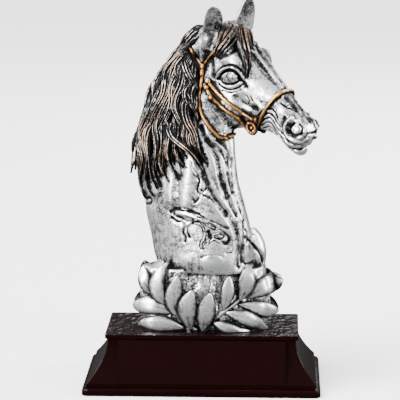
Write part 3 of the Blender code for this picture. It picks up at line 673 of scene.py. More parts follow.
def edges_of(mesh):
    """The ends of each edge, and how many edges meet at each point."""
    edges = np.empty(len(mesh.edges) * 2, int)
    mesh.edges.foreach_get("vertices", edges)
    edges = edges.reshape(-1, 2)
    degree = np.maximum(np.bincount(edges.ravel(), minlength=len(mesh.vertices)), 1).astype(float)
    return edges, degree


def neighbour_mean(values, edges, degree):
    total = np.zeros_like(values)
    for k in range(values.shape[1]):
        total[:, k] = np.bincount(edges[:, 0], values[edges[:, 1], k], len(values))
        total[:, k] += np.bincount(edges[:, 1], values[edges[:, 0], k], len(values))
    return total / degree[:, None]


def press(points, normals, path, radius, lift):
    """Raises the surface near a path, or sinks it where lift is negative."""
    path = np.asarray(path, float)
    low, high = path.min(0) - radius, path.max(0) + radius
    near = np.flatnonzero(((points > low) & (points < high)).all(1))
    if not len(near):
        return
    p = points[near]
    best = np.full(len(near), np.inf)
    for a, b in zip(path, path[1:]):
        along = b - a
        t = np.clip(((p - a) @ along) / max(along @ along, 1e-9), 0, 1)
        best = np.minimum(best, np.linalg.norm(p - a - t[:, None] * along, axis=1))
    fade = np.clip(1 - (best / radius) ** 2, 0, 1) ** 2
    points[near] += normals[near] * (lift * fade)[:, None]


print("voxel of", VOXEL, "mm")

# %% [markdown]
# ## Furrows
# Eyelids, nostrils, lips, the wrinkles behind the bit and the raised veins are drawn as lines and pressed
# into the skin one by one, as a modeller does with a loop tool. Lines of the face are drawn on the near
# side and mirrored to the far one. The neck also gets a few broad bulges and a valley, and the veins are
# ridges that stand in a shallow trench.

# %% Lines of the face
# radius and lift in mm, then points of the front drawing
FACE_LINES = (
    (1.0, -0.65, ((216, 74.5), (219, 70), (224.5, 66.4), (230.5, 65.2), (237, 67), (242, 71))),
    (1.1, 0.75, ((216, 78), (219.5, 72), (224, 68.4), (230, 67), (235.5, 68.8), (240, 73), (243, 77.5))),
    (1.1, -1.6, ((217.5, 79), (221, 74.6), (225.4, 71.3), (230, 70.2), (234.5, 71.5),
                 (238.4, 75.2), (241.5, 79.8))),
    (1.0, -1.1, ((217.5, 79), (223, 82.8), (229.2, 84.3), (235, 83.2), (241.5, 79.8))),
    (1.7, -1.1, ((219.8, 78.6), (221.2, 79))),
    (1.7, -1.1, ((238.6, 78.6), (240, 79.2))),
    (3.0, 0.7, ((229.5, 76.4), (230.5, 76.8))),
    (1.1, 0.6, ((219.5, 80.5), (223.8, 85.2), (229.5, 87), (235.5, 86), (240.5, 82.5))),
    (0.6, -0.35, ((230.5, 73.4), (233.2, 75.6), (232.6, 78.8), (229.8, 80), (227.2, 78.2),
                  (227.6, 75), (230.5, 73.4))),
    (0.9, -0.8, ((219, 84), (224.5, 88.4), (231, 89.6), (237.5, 88.2), (242.5, 85))),
    (0.8, -0.5, ((222, 90), (228.5, 92.6), (235, 92.2), (241, 89.7))),
    (2.0, -1.5, ((240.7, 80.5), (243.7, 83), (246, 86.5))),
    (3.4, -1.8, ((220, 55), (227, 52), (236, 47.5))),
    (2.4, -1.0, ((212, 60), (213, 68), (214, 76))),
    (2.3, -0.6, ((251, 54), (258, 62), (267, 73), (276, 83), (283, 91))),
    (1.6, 0.6, ((249, 49), (257, 56), (266, 67), (275, 78), (283, 86))),
    (1.8, -0.5, ((257, 47), (265, 57), (273, 68), (282, 82))),
    (2.2, -0.8, ((286, 98), (293, 106), (300, 114), (305, 122))),
    (1.8, -2.6, ((294, 122.4), (290.6, 125.6), (289.8, 130.6), (292.5, 134.8), (297.5, 136.2),
                 (302, 134.5))),
    (1.3, 0.7, ((296.5, 125), (299.3, 128), (298.6, 131.6), (296, 132.4))),
    (1.3, -1.6, ((299.8, 123.6), (303.2, 127.4), (302.6, 132))),
    (1.7, 1.5, ((292, 118.3), (287.3, 122.8), (285.6, 129.3), (288, 136), (294, 140), (301, 141),
                (306, 138))),
    (1.6, -0.8, ((284.5, 118), (281.6, 126), (283, 134.5), (287.5, 141.5))),
    (1.1, -0.8, ((262, 131), (269, 132.5), (275, 137), (283, 143.5), (290, 148), (298, 149.5), (307, 147))),
    (1.4, 0.6, ((268, 129.5), (276, 134), (284, 140.5), (291, 145), (299, 146.5))),
    (1.2, -0.4, ((273, 141), (279, 147.5), (285, 151.6))),
    (0.9, -0.5, ((309, 117.5), (313, 121), (315, 127))),
    (0.9, -0.5, ((310.5, 133.5), (315, 132))),
    (0.8, -0.75, ((258, 116), (262, 111.5), (267, 109), (272, 109.5), (276, 114), (277.5, 119))),
    (0.8, -0.8, ((259.5, 119), (264, 115), (269, 113.5), (274, 117), (277, 123), (281, 128.5))),
    (0.8, -0.85, ((260.5, 122), (266, 118.5), (270.5, 118.5), (274.5, 123), (278, 129.5), (283, 135.5))),
    (0.8, -0.85, ((261.5, 125), (267, 122.4), (271.5, 124), (276, 130), (280.5, 136.5), (286, 142))),
    (0.8, -0.75, ((263, 128), (268.5, 126.8), (273, 130), (278, 136.5), (284, 143.5), (290, 148))),
    (0.8, -0.7, ((247, 96), (249, 100), (248, 104))),
    (0.8, -0.7, ((251, 97), (252.5, 101))),
    (0.8, -0.9, ((281, 103.5), (286, 107), (291, 109), (296, 112))),
    (0.8, -0.8, ((286, 107), (289, 104), (291.5, 101.5), (293, 106.5))),
    (2.8, -0.8, ((236, 97), (243, 103), (250, 107), (256, 108))),
)

# %% Lines of the neck
NECK_LINES = (
    (7.0, 0.9, ((171, 168), (169, 185), (170, 200))),
    (4.5, -0.7, ((179, 160), (178, 180), (176, 205))),
    (7.0, 0.8, ((190, 168), (187, 185), (184, 203))),
    (9.0, 0.8, ((205, 222), (209, 242), (213, 262))),
    (3.0, -1.1, ((176, 139), (185, 145), (193, 152), (199, 163), (205, 177), (210, 190),
                 (217, 202), (226, 213))),
    (2.8, -1.1, ((226, 213), (232, 222), (237, 233), (239.5, 248), (238.5, 266))),
    (1.0, -0.4, ((199, 163), (205, 177), (210, 190), (217, 202), (226, 213), (232, 222), (237, 233))),
    (2.2, 0.8, ((181, 137), (190, 145), (198, 154), (205, 168), (211, 184), (217, 196),
                (226, 207), (235, 220))),
    (1.0, -0.9, ((209, 197), (216, 204.5), (222, 211), (231, 217.5))),
    (2.2, -1.2, ((201, 127), (204, 136), (210, 143), (217, 148), (223, 154), (227, 164),
                 (229, 176), (233, 192))),
    (2.6, -1.1, ((207, 141), (213, 150), (218, 161), (220, 173), (224, 187), (229, 201), (235, 216))),
    (1.8, -0.9, ((218, 140), (224, 146), (228, 156), (230, 168))),
    (1.8, -0.8, ((232, 160), (233, 178), (236, 196), (241, 212))),
    (2.0, 0.8, ((177, 213), (184, 214), (192, 216), (199, 218.6), (206, 221.5))),
    (0.7, -0.6, ((181, 213.5), (187, 216), (193.5, 217.5))),
    (1.7, -1.2, ((208.5, 232), (210.5, 237))),
    (1.1, -0.5, ((202, 257.5), (208, 255.3), (216, 255), (222, 257))),
    (0.8, -0.4, ((227, 253.5), (231, 252.5))),
    (2.0, -1.3, ((244, 222), (244.5, 234), (243.5, 248), (242.5, 262))),
    (1.6, -1.2, ((246.5, 237), (251, 242), (256, 248), (260.5, 254), (263, 262))),
    (1.2, -0.9, ((246, 230), (248, 236), (247, 242))),
    (1.6, -1.1, ((243, 261), (248, 264.5), (253, 262))),
)

# trench and ridge of a vein: share of its width, and lift in mm
TRENCH = (0.88, -0.8)
RIDGE = (0.50, 1.15)

# veins: width in mm, then points of the front drawing
VEINS = (
    (1.5, ((191, 162), (193, 169), (196, 174.5), (199, 180), (198, 185), (197, 190), (199.5, 194),
           (204, 195.5))),
    (1.4, ((202, 177), (205.5, 183), (206, 188), (203.5, 191.5), (201, 190))),
    (1.3, ((200, 195), (197.5, 199.5), (194.5, 202), (193, 199.5))),
    (1.2, ((203, 196), (206.5, 196.5), (208.5, 199))),
    (1.6, ((170, 211.5), (176, 209), (183, 209.3), (190, 211), (198, 215), (206, 219.5),
           (214, 223.5), (228, 228.6))),
    (1.6, ((174, 213.5), (180, 217.5), (186, 221.5), (191, 222), (196, 220), (202, 221),
           (208, 225.5), (214, 228))),
    (1.7, ((214, 228), (221, 231), (227, 235.5), (229, 240), (226, 243.6), (220, 241.5),
           (214, 239), (211, 241))),
    (1.5, ((172, 218), (177, 221.5), (182, 222.5), (185, 225.5), (184, 229.5), (183.5, 233),
           (185.5, 237), (185, 241))),
    (1.5, ((189.5, 237), (187.5, 232.5), (187.5, 228.5), (190.5, 224.8), (195, 223), (200, 224),
           (203.5, 228))),
    (1.6, ((203.5, 228), (205, 233), (204, 239), (201.5, 243.5), (201.5, 247.5))),
    (1.3, ((206.5, 239), (206.5, 243), (205, 247.5))),
    (1.4, ((213, 234.5), (219, 233.6), (224, 237), (221, 238.5), (216, 238))),
    (1.3, ((146, 199), (149, 197.5), (151.5, 200), (150, 203.5), (146.5, 203.5), (145.5, 206))),
)


def in_head(points):
    """The points' places along the head, above it and beside it."""
    return (points - np.array(POLL)) @ np.array([U, V, W]).T


def at_ears(points):
    """Which points belong to the ears."""
    u, v, w = in_head(points).T
    return ((v > -1.5) & (np.abs(w) > 8.5) & (u < 18)) | (v > 4.5)


# how fast each region is calmed; the muzzle lies past this place along the head
CALM = 0.5
CALM_MUZZLE = 0.32
CALM_EARS = 0.05
CALM_BLOCK = 0.10
MUZZLE_U = 60


def calm_skin(mesh, rounds):
    """Blends the joins of the forms, most on cheeks and neck, less at the muzzle, the ears and the block."""
    points = points_of(mesh)
    edges, degree = edges_of(mesh)
    amount = np.full(len(points), CALM)
    amount[(in_head(points)[:, 0] > MUZZLE_U) & (points[:, 2] > 60)] = CALM_MUZZLE
    amount[at_ears(points)] = CALM_EARS
    amount[points[:, 2] < BLOCK_HEIGHT + 1.0] = CALM_BLOCK
    amount = neighbour_mean(neighbour_mean(amount[:, None], edges, degree), edges, degree)
    for _ in range(rounds):
        points += amount * (neighbour_mean(points, edges, degree) - points)
    mesh.vertices.foreach_set("co", points.ravel())
    mesh.update()


def furrow(mesh):
    """Presses the lines of face and neck into the skin."""
    points, normals = points_of(mesh), points_of(mesh, "normal")
    tree = BVHTree.FromPolygons([tuple(p) for p in points], [tuple(f.vertices) for f in mesh.polygons])
    laid = []
    for mirrored, lines in ((True, FACE_LINES), (False, NECK_LINES)):
        for radius, lift, drawn in lines:
            path = [seen_on(tree, x, y)[0] for x, y in smooth_rows(drawn, 5 * len(drawn))]
            laid.append((path, radius, lift))
            if mirrored:
                laid.append(([far_side(p) for p in path], radius, lift))
    for wide, drawn in VEINS:
        path = [seen_on(tree, x, y)[0] for x, y in smooth_rows(drawn, 6 * len(drawn))]
        for share, lift in (TRENCH, RIDGE):
            laid.append((path, share * wide, lift))
    for path, radius, lift in laid:
        press(points, normals, path, radius, lift)
    mesh.vertices.foreach_set("co", points.ravel())
    mesh.update()
    return len(laid)


print("lines:", len(FACE_LINES), "on the face,", len(NECK_LINES), "on the neck,", len(VEINS), "veins")

# %% Make the skin
# how far before the box's front the skin starts to give way, in mm
EASE = 0.9
# the stony surface ends at this height
STONE_TOP = 31.5
CALM_ROUNDS = 70


def roughen(mesh):
    """Gives the block its stony surface and the whole casting the faint unevenness of a mould."""
    points, normals = points_of(mesh), points_of(mesh, "normal")
    lift = np.zeros(len(points))
    for i, p in enumerate(points):
        place = Vector(p)
        if p[2] < STONE_TOP:
            grain = noise.noise(Vector((p[0] * 0.35, p[1] * 0.35, p[2] * 0.16)))
            lift[i] = 0.75 * grain + 0.3 * noise.noise(place * 0.9)
        else:
            broad, middle, fine = (noise.noise(place * scale) for scale in (0.07, 0.35, 1.1))
            lift[i] = 0.5 * broad + 0.10 * middle + 0.035 * fine
    points += normals * lift[:, None]
    mesh.vertices.foreach_set("co", points.ravel())
    mesh.update()


def cut_seat(mesh):
    """Cuts the block off flat where it meets the plinth."""
    bm = bmesh.new()
    bm.from_mesh(mesh)
    everything = bm.verts[:] + bm.edges[:] + bm.faces[:]
    bmesh.ops.bisect_plane(bm, geom=everything, plane_co=(0, 0, 0), plane_no=(0, 0, -1), clear_outer=True)
    bmesh.ops.holes_fill(bm, edges=[edge for edge in bm.edges if edge.is_boundary])
    bm.to_mesh(mesh)
    bm.free()


def keep_inside(mesh):
    """Eases the side of the muzzle in where the skin would stand past the frame's box."""
    points = points_of(mesh)
    front = CAD_BOX[0][1] / MM
    past = np.maximum(front + EASE - points[:, 1], 0.0)
    points[:, 1] += past - 0.9 * EASE * np.tanh(past / (0.9 * EASE))
    mesh.vertices.foreach_set("co", points.ravel())
    mesh.update()


def thin_out(mesh, triangles):
    """Leaves the given number of triangles, most of them where the surface bends."""
    have = sum(len(face.vertices) - 2 for face in mesh.polygons)
    if have <= triangles:
        return mesh
    holder = bpy.data.objects.new("thin", mesh)
    bpy.context.scene.collection.objects.link(holder)
    thin = holder.modifiers.new("thin", "DECIMATE")
    thin.ratio = triangles / have
    thinned = evaluated_mesh(holder)
    bpy.data.objects.remove(holder)
    return thinned


def make_skin():
    bm = bmesh.new()
    for add in (add_neck, add_head, add_ears, add_block):
        add(bm)
    skin = fuse(bm, VOXEL)
    bm.free()
    calm_skin(skin, CALM_ROUNDS)
    lines = furrow(skin)
    roughen(skin)
    keep_inside(skin)
    skin = thin_out(skin, SKIN_TRIANGLES)
    cut_seat(skin)
    print("skin:", len(skin.polygons), "faces after", lines, "lines")
    return skin


SKIN = make_skin()

# %% [markdown]
# ## Mane
# The hair falls from the crest over the near side in wavy locks that end in points, and lies flatter on
# the far side. Each lock is a flattened tube with two or three ridges on its back, so that it reads as a
# bundle of strands. The flow of the hair is drawn as seven lines, and the locks take their course from
# between them; the locks behind the far ear follow the same lines, carried over to the far side.

# %% Locks
# the flow of the hair as drawn, from the crest at the left to the jaw at the right
MANE_FLOW = (
    ((191, 41), (179, 50), (165, 68), (153, 92), (145, 114), (139, 138), (134, 160), (142, 188)),
    ((190, 44), (176, 60), (163, 84), (154, 106), (149, 128), (145, 150), (144, 172), (149, 200)),
    ((190, 49), (181, 65), (172, 86), (164, 107), (157, 128), (153, 150), (154, 168), (160, 191)),
    ((192, 54), (185, 70), (179, 88), (173, 107), (167, 126), (165, 148), (165, 168), (169, 189)),
    ((194, 59), (189, 73), (185, 88), (180, 104), (176, 121), (173, 140), (173, 157), (176, 178)),
    ((197, 68), (195, 82), (192, 95), (189, 108), (186, 121), (186, 135), (190, 148), (197, 162)),
    ((198, 80), (197, 92), (196, 104), (196, 117), (197, 130), (199, 142), (202, 154), (206, 168)),
)

# locks that cross the flow
MANE_SWEEPS = (
    ((189, 52), (187, 70), (186, 85), (181, 97), (179, 108), (183, 120), (189, 132), (195, 144)),
    ((186, 60), (190, 72), (195, 83), (199, 92)),
    ((170, 122), (175, 136), (184, 144), (192, 151), (198, 160), (203, 170)),
    ((176, 70), (178, 85), (174, 100), (168, 112), (161, 124), (156, 140)),
    ((183, 62), (181, 78), (176, 90), (177, 104), (171, 118), (163, 132), (160, 148)),
    ((168, 70), (170, 84), (168, 98), (160, 112), (153, 126), (151, 142)),
    ((190, 96), (188, 110), (191, 122), (196, 132), (198, 144), (201, 156)),
)

# short hair between the ear and the crest
POLL_HAIR = (
    ((203, 21), (196, 27), (190, 34), (184, 41), (176, 51), (168, 62)),
    ((202, 25), (196, 31), (190, 38), (184, 46), (177, 57)),
    ((200, 30), (194, 36), (189, 44), (184, 53), (180, 63)),
    ((199, 36), (193, 42), (189, 51), (186, 60), (184, 70)),
    ((204, 23), (199, 27), (194, 31), (188, 37), (181, 45)),
)

STRAND_RIDGES = 2
LOCK_SIDES = 30


def lock_sizes(count, wide, thick, start=0.4, blunt=0.07):
    """A lock is full for most of its length and ends in a point."""
    t = np.linspace(0, 1, count)
    size = np.clip(np.minimum(1.0, 4.0 * t + start) * (1 - t**2.4), blunt, 1)
    return [(wide * s, thick * (0.35 + 0.65 * s)) for s in size]


def lock_turns(sides):
    """Angles round a lock, three quarters of them on its back."""
    front = 3 * sides // 4
    back = np.arccos(np.linspace(1, -1, front))
    under = np.linspace(math.pi, 2 * math.pi, sides - front + 2)[1:-1]
    return np.concatenate([back, under])


def lock(bm, centres, outwards, sizes, ridges=STRAND_RIDGES, twist=0.0, sides=LOCK_SIDES):
    """A lock of hair with a grooved back; the marks are 1 on its ridges and 0 in its grooves and flanks."""
    rings, marks = [], []
    last = len(centres) - 1
    for i, (centre, outward, (wide, thick)) in enumerate(zip(centres, outwards, sizes)):
        along = (centres[min(i + 1, last)] - centres[max(i - 1, 0)]).normalized()
        off = (outward - along * outward.dot(along)).normalized()
        across = along.cross(off)
        ring, mark = [], []
        for a in lock_turns(sides):
            c, s = math.cos(a), math.sin(a)
            back = max(s, 0.0)
            wave = math.cos(math.pi * ridges * (c + twist * i / last))
            depth = 1.0 + 0.38 * wave * min(1.0, 3 * back)
            ring.append(centre + across * (wide * c) + off * (thick * s * depth))
            mark.append(min(1.0, 1.6 * back) * (0.5 + 0.5 * wave) ** 1.9)
        rings.append(ring)
        marks.append(mark)
    tube(bm, rings, marks)


FLOW = np.array([smooth_rows(row, 48) for row in MANE_FLOW])


def flow_line(place):
    """The course of the hair at a place between the drawn lines, 0 for the first line."""
    low = int(place)
    return FLOW[low] + (FLOW[low + 1] - FLOW[low]) * (place - low)


def near_locks(bm, rng, columns, layers):
    """Locks over the near side, laid in layers that overlap like thatch."""
    made = 0
    for layer in range(layers):
        for i in range(columns):
            place = (i + rng.uniform(-0.35, 0.35)) * (len(FLOW) - 1) / (columns - 1)
            place = min(max(place, 0), len(FLOW) - 1.001)
            row = flow_line(place)
            start = 0 if layer in (0, 3) else rng.uniform(0.1, 0.6)
            end = min(1.0, start + rng.uniform(0.38, 0.60))
            if layer == 1:
                start, end = rng.uniform(0.42, 0.58), rng.uniform(0.90, 1.0)
            first, last = int(47 * start), int(47 * end) + 1
            t = np.linspace(0, 1, last - first)
            drawn = row[first:last]
            own = rng.uniform(0.8, 2.3) * np.sin(2 * math.pi * t * rng.uniform(0.7, 1.5) + rng.uniform(0, 6))
            wave = 3.0 * np.sin(2 * math.pi * drawn[:, 1] / 52 + 1.1 * place) + own
            drawn = drawn + np.stack([wave * np.minimum(1, 2.5 * t), 0 * wave], 1)
            high = 2.2 + 0.35 * layer + rng.uniform(-0.3, 0.5)
            centres, outwards = seen_path(HORSE_SKIN, drawn, ((0, 0.45, 1), (1.0, high, 0.5)), 26, 3)
            wide = rng.uniform(1.1, 1.9)
            ridges = 2 if rng.uniform() < 0.7 else 3
            lock(bm, centres, outwards, lock_sizes(26, wide, 1.4), ridges, rng.uniform(-0.8, 0.8))
            made += 1
    for drawn in MANE_SWEEPS:
        for shift in (-1.4, 1.4):
            path = [(x + shift, y) for x, y in drawn]
            centres, outwards = seen_path(HORSE_SKIN, path, ((0, 0.5, 1), (2.2, 4.0, 1.8)), 30, 3)
            lock(bm, centres, outwards, lock_sizes(30, 1.6, 1.3, 0.2), twist=rng.uniform(-0.6, 0.6))
            made += 1
    for drawn in POLL_HAIR:
        centres, outwards = seen_path(HORSE_SKIN, drawn, ((0, 0.5, 1), (-0.4, 1.0, 1.6)), 22, 3)
        lock(bm, centres, outwards, lock_sizes(22, 1.7, 1.2, 0.15), twist=rng.uniform(-0.6, 0.6))
        made += 1
    return made


# how proud the crest locks lie from the poll down to their tips
CREST_RISE = ((-0.1, 0.0, 0.1, 0.3, 0.5, 0.75, 1.0), (-2.0, -1.0, 1.2, 1.5, 0.7, 2.6, 7.0))


def crest_locks(bm, rng):
    """Long locks along the crest, whose ends stand out from the neck."""
    made = 0
    for turn in (25, 19, 13, 7, 1, -5, -11):
        for start, end in ((0.985, 0.70), (0.93, 0.58), (0.84, 0.50), (0.75, 0.43), (0.66, 0.385)):
            start += rng.uniform(-0.02, 0.01)
            end += rng.uniform(-0.01, 0.03) + 0.0015 * abs(turn)
            t = np.linspace(0, 1, 28)
            shares = start + (end - start) * t
            rise = np.interp((0.97 - shares) / 0.595, *CREST_RISE)
            outs = rise * (1 - 0.012 * abs(turn)) + 0.5 + rng.uniform(-0.2, 0.5) * np.sin(math.pi * t)
            turns = turn + rng.uniform(2, 5) * np.sin(6 * t + rng.uniform(0, 6))
            centres = [on_neck(*row) for row in zip(shares, turns, outs)]
            outwards = [on_neck(s, a, 6) - on_neck(s, a, 0) for s, a in zip(shares, turns)]
            sizes = lock_sizes(28, rng.uniform(1.6, 2.4), 1.6, 0.1)
            lock(bm, centres, outwards, sizes, twist=rng.uniform(-0.8, 0.8))
            made += 1
    return made


def far_locks(bm, rng):
    """Plainer locks over the far side, and those that come over behind the far ear."""
    made = 0
    for place in np.linspace(0.0, 5.6, 22):
        drawn = flow_line(place)[:int(rng.uniform(15, 27))]
        centres, _ = seen_path(HORSE_SKIN, drawn, ((0, 1), (0, 0)), 21, 3)
        over = np.interp(place, (0.0, 1.6, 3.2), (0.66, 0.80, 1.0)) + rng.uniform(-0.04, 0.0)
        path = [centres[0]] + [centre.lerp(far_side(centre), over) for centre in centres[1:]]
        centres, outwards = laid_on(HORSE_SKIN, path, rng.uniform(0.6, 1.6), 5)
        sizes = lock_sizes(21, rng.uniform(1.7, 2.5), 1.5)
        lock(bm, centres, outwards, sizes, twist=rng.uniform(-0.8, 0.8))
        made += 1
    for layer in range(3):
        for i in range(17):
            root = 0.985 - i * 0.036 + rng.uniform(-0.015, 0.015)
            fall = rng.uniform(0.18, 0.27)
            t = np.linspace(0, 1, 24)
            shares = root - fall * t
            spread = (30, 48, 62)[layer] + rng.uniform(-6, 6)
            turns = -6 - spread * t**0.8 + rng.uniform(2, 5) * np.sin(6 * t + rng.uniform(0, 6))
            outs = 0.8 + (2.9 - 0.5 * layer) * np.sin(math.pi * np.minimum(1, t + 0.12)) ** 0.8
            centres = [on_neck(*row) for row in zip(shares, turns, outs)]
            outwards = [on_neck(s, a, 6) - on_neck(s, a, 0) for s, a in zip(shares, turns)]
            sizes = lock_sizes(24, rng.uniform(1.8, 2.7), 1.5)
            lock(bm, centres, outwards, sizes, twist=rng.uniform(-0.8, 0.8))
            made += 1
    return made


def hair_mesh(name, add, seed):
    """One piece of hair with its marks."""
    rng = np.random.default_rng(seed)
    bm = bmesh.new()
    bm.verts.layers.float.new("mark")
    made = add(bm, rng)
    close_and_face_out(bm)
    mesh = bpy.data.meshes.new(name)
    bm.to_mesh(mesh)
    bm.free()
    print(name + ":", made, "locks,", len(mesh.polygons), "faces")
    return mesh


MANE_NEAR = hair_mesh("mane_near", lambda bm, rng: near_locks(bm, rng, 21, 4), 7)
MANE_CREST = hair_mesh("mane_crest", crest_locks, 8)
MANE_FAR = hair_mesh("mane_far", far_locks, 9)

# %% Forelock
# half width in mm, then points of the front drawing
FORELOCK = (
    (1.4, ((230, 24), (225, 30), (222, 39), (218, 48), (215, 57))),
    (1.1, ((233, 24), (228, 32), (225, 40), (220, 48))),
    (1.2, ((236, 26), (232, 33), (228, 41), (221, 50), (216.5, 57))),
    (1.4, ((240, 26), (237.5, 34), (238, 46), (242, 57), (246, 67), (247.5, 78))),
    (1.0, ((239, 27), (239.5, 36), (242, 47), (246, 57), (248.5, 67))),
    (1.1, ((241, 25), (243.5, 34), (245.5, 45), (249, 57), (249, 70))),
    (1.0, ((238, 27), (234.5, 34), (231, 41), (225, 48))),
    (0.9, ((243, 27), (248, 33), (251, 40), (253, 47))),
    (0.9, ((243, 28), (246, 36), (248.5, 44), (250.5, 52))),
    (1.3, ((226, 22.5), (236, 24.5), (244, 28), (250, 33))),
    (1.3, ((224, 24), (232, 27), (238, 31), (243, 37))),
    (1.0, ((224, 26), (221, 33), (219, 42), (214.5, 50))),
    (0.8, ((227, 28), (223.5, 36), (220, 45), (215, 54))),
    (1.0, ((234, 30), (229.5, 38), (224.5, 46), (217, 53.5))),
    (0.9, ((236, 33), (231.5, 41), (226.5, 49), (219, 56))),
    (0.8, ((237.5, 36), (234.5, 44), (229, 51), (222, 57))),
    (0.8, ((237, 30), (235.5, 38), (238.5, 49), (242.5, 60), (244.5, 68))),
)


def forelock_locks(bm, rng):
    for wide, drawn in FORELOCK:
        centres, outwards = seen_path(HORSE_SKIN, drawn, ((0, 0.4, 1), (0.9, 1.5, 0.5)), 24, 3)
        lock(bm, centres, outwards, lock_sizes(24, wide, 1.2), ridges=3, twist=rng.uniform(-0.5, 0.5))
    return len(FORELOCK)


FORELOCK_MESH = hair_mesh("forelock", forelock_locks, 11)

# %% [markdown]
# ## Bridle
# The bridle is moulded with the head and picked out in bronze gold: straps of about two millimetres, knots
# and buckles where they meet, and a ring at the corner of the mouth. The far side repeats the near one, laid
# on its own skin, and the crown strap goes over the back of the head behind the ears.

# %% Straps
STRAP_WIDE = 1.02
STRAP_THICK = 0.95
NOSEBAND_U = 52.5

# how far the middle of a strap stands off the skin, and of the strap over the back of the head
STRAP_OUT = 0.45
CROWN_OUT = 0.1

# the straps as drawn on the near side
STRAPS = {
    "upper cheek strap": ((207, 81), (213, 88), (221, 96), (230, 104), (240, 111), (250, 117), (257, 121)),
    "lower cheek strap": ((206, 87), (211, 97), (218, 104), (228, 111), (238, 118), (244, 123), (250, 129)),
    "throatlatch": ((203, 68), (202, 79), (200, 90), (199, 101), (201, 112),
                    (205, 120), (212, 130), (220, 138), (228, 137), (234, 134)),
    "crown strap": ((190, 43), (193, 51), (198, 59), (203, 67)),
    "browband": ((203, 67), (208, 60), (214, 53), (220, 46)),
}

# where straps are knotted or buckled: place in the drawing, half width and half height
KNOTS = (
    (203, 67, 1.7, 1.9),
    (202.4, 73, 1.4, 3.0),
    (208, 81.5, 1.7, 1.9),
    (206.5, 88, 1.4, 1.5),
    (210.5, 98, 1.3, 1.5),
    (257, 120, 1.8, 2.2),
    (247.5, 127, 1.5, 1.7),
    (263, 132, 2.4, 1.2),
    (225, 138.5, 1.7, 1.3),
)

# the bit ring: place in the drawing, how far it stands out, its radii, its cord and the boss in its middle
BIT_PLACE = (254.5, 127.5)
BIT_OUT = 2.2
BIT_RADII = (3.0, 2.6)
BIT_CORD = (1.15, 1.1)
BIT_BOSS = (1.5, 1.5, 1.0)


def strap_sizes(count):
    """The straps are modelled by hand, so their width wavers a little."""
    wide = [STRAP_WIDE * (1 + 0.09 * math.sin(1.9 * i)) for i in range(count)]
    thick = [STRAP_THICK * (1 + 0.06 * math.sin(2.7 * i)) for i in range(count)]
    return list(zip(wide, thick))


def add_noseband(bm):
    row = [np.interp(NOSEBAND_U, HEAD_ROWS[:, 0], column) for column in HEAD_ROWS.T]
    ring = head_ring(*row, out=0.5)
    middle = sum(ring, Vector()) / len(ring)
    band = [ring[i % len(ring)] for i in range(len(ring) + 3)]
    cord(bm, band, [p - middle for p in band], strap_sizes(len(band)), 16)


def add_crown_over(bm, near_end, far_end):
    """The strap over the back of the head, cast onto the skin from outside."""
    inside, back = (near_end + far_end) / 2, (V - U * 0.5).normalized()
    over = [near_end]
    for turn in np.linspace(0.1, 0.9, 22) * math.pi:
        aim = (near_end - inside).normalized() * math.cos(turn) + back * math.sin(turn)
        over.append(HORSE_SKIN.ray_cast(inside + aim * 40, -aim)[0] or inside + aim * 10)
    over, aims = laid_on(HORSE_SKIN, over + [far_end], CROWN_OUT)
    cord(bm, over, aims, strap_sizes(len(over)), 16)


def add_straps(bm):
    for name, drawn in STRAPS.items():
        count = 6 * len(drawn)
        centres, outwards = seen_path(HORSE_SKIN, drawn, ((0, 1), (STRAP_OUT, STRAP_OUT)), count, 4)
        sizes = strap_sizes(count)
        cord(bm, centres, outwards, sizes, 16)
        other, aims = laid_on(HORSE_SKIN, [far_side(p) for p in centres], STRAP_OUT)
        cord(bm, other, aims, sizes, 16)
        if name == "crown strap":
            add_crown_over(bm, centres[0], other[0])


def add_knots(bm, far):
    for x, y, wide, high in KNOTS:
        knot, aim = seen_on(HORSE_SKIN, x, y, 0.6)
        if far:
            (knot,), (aim,) = laid_on(HORSE_SKIN, [far_side(knot)], 0.6, 0)
        across = aim.cross(Vector((0, 0, 1))).normalized()
        ball(bm, knot, (wide, high, 1.3), (across, aim.cross(across), aim), 8)


def add_bit_ring(bm, far):
    bit, aim = seen_on(HORSE_SKIN, *BIT_PLACE)[0] - W * BIT_OUT, -W
    if far:
        bit, aim = far_side(bit), aim - W * (2 * aim.dot(W))
    across = aim.cross(V).normalized()
    up = across.cross(aim)
    turns = [i * math.pi / 12 for i in range(27)]
    wide, high = BIT_RADII
    loop = [bit + across * (wide * math.cos(a)) + up * (high * math.sin(a)) for a in turns]
    cord(bm, loop, [aim] * len(loop), [BIT_CORD] * len(loop), 12)
    ball(bm, bit, BIT_BOSS, (across, up, aim), 8)


def make_bridle():
    bm = bmesh.new()
    bm.verts.layers.float.new("mark")
    add_noseband(bm)
    add_straps(bm)
    for far in (False, True):
        add_knots(bm, far)
        add_bit_ring(bm, far)
    close_and_face_out(bm)
    mesh = bpy.data.meshes.new("bridle")
    bm.to_mesh(mesh)
    bm.free()
    print("bridle:", 2 * len(STRAPS) + 2, "straps")
    return mesh


BRIDLE = make_bridle()

# %% [markdown]
# ## Laurel
# Two sprays of laurel rise from the middle of the front, and their like lie behind. A leaf is a tube with a
# crowned back and a fine rib, broad in the middle and pointed at its tip, and its outline was drawn leaf
# by leaf.

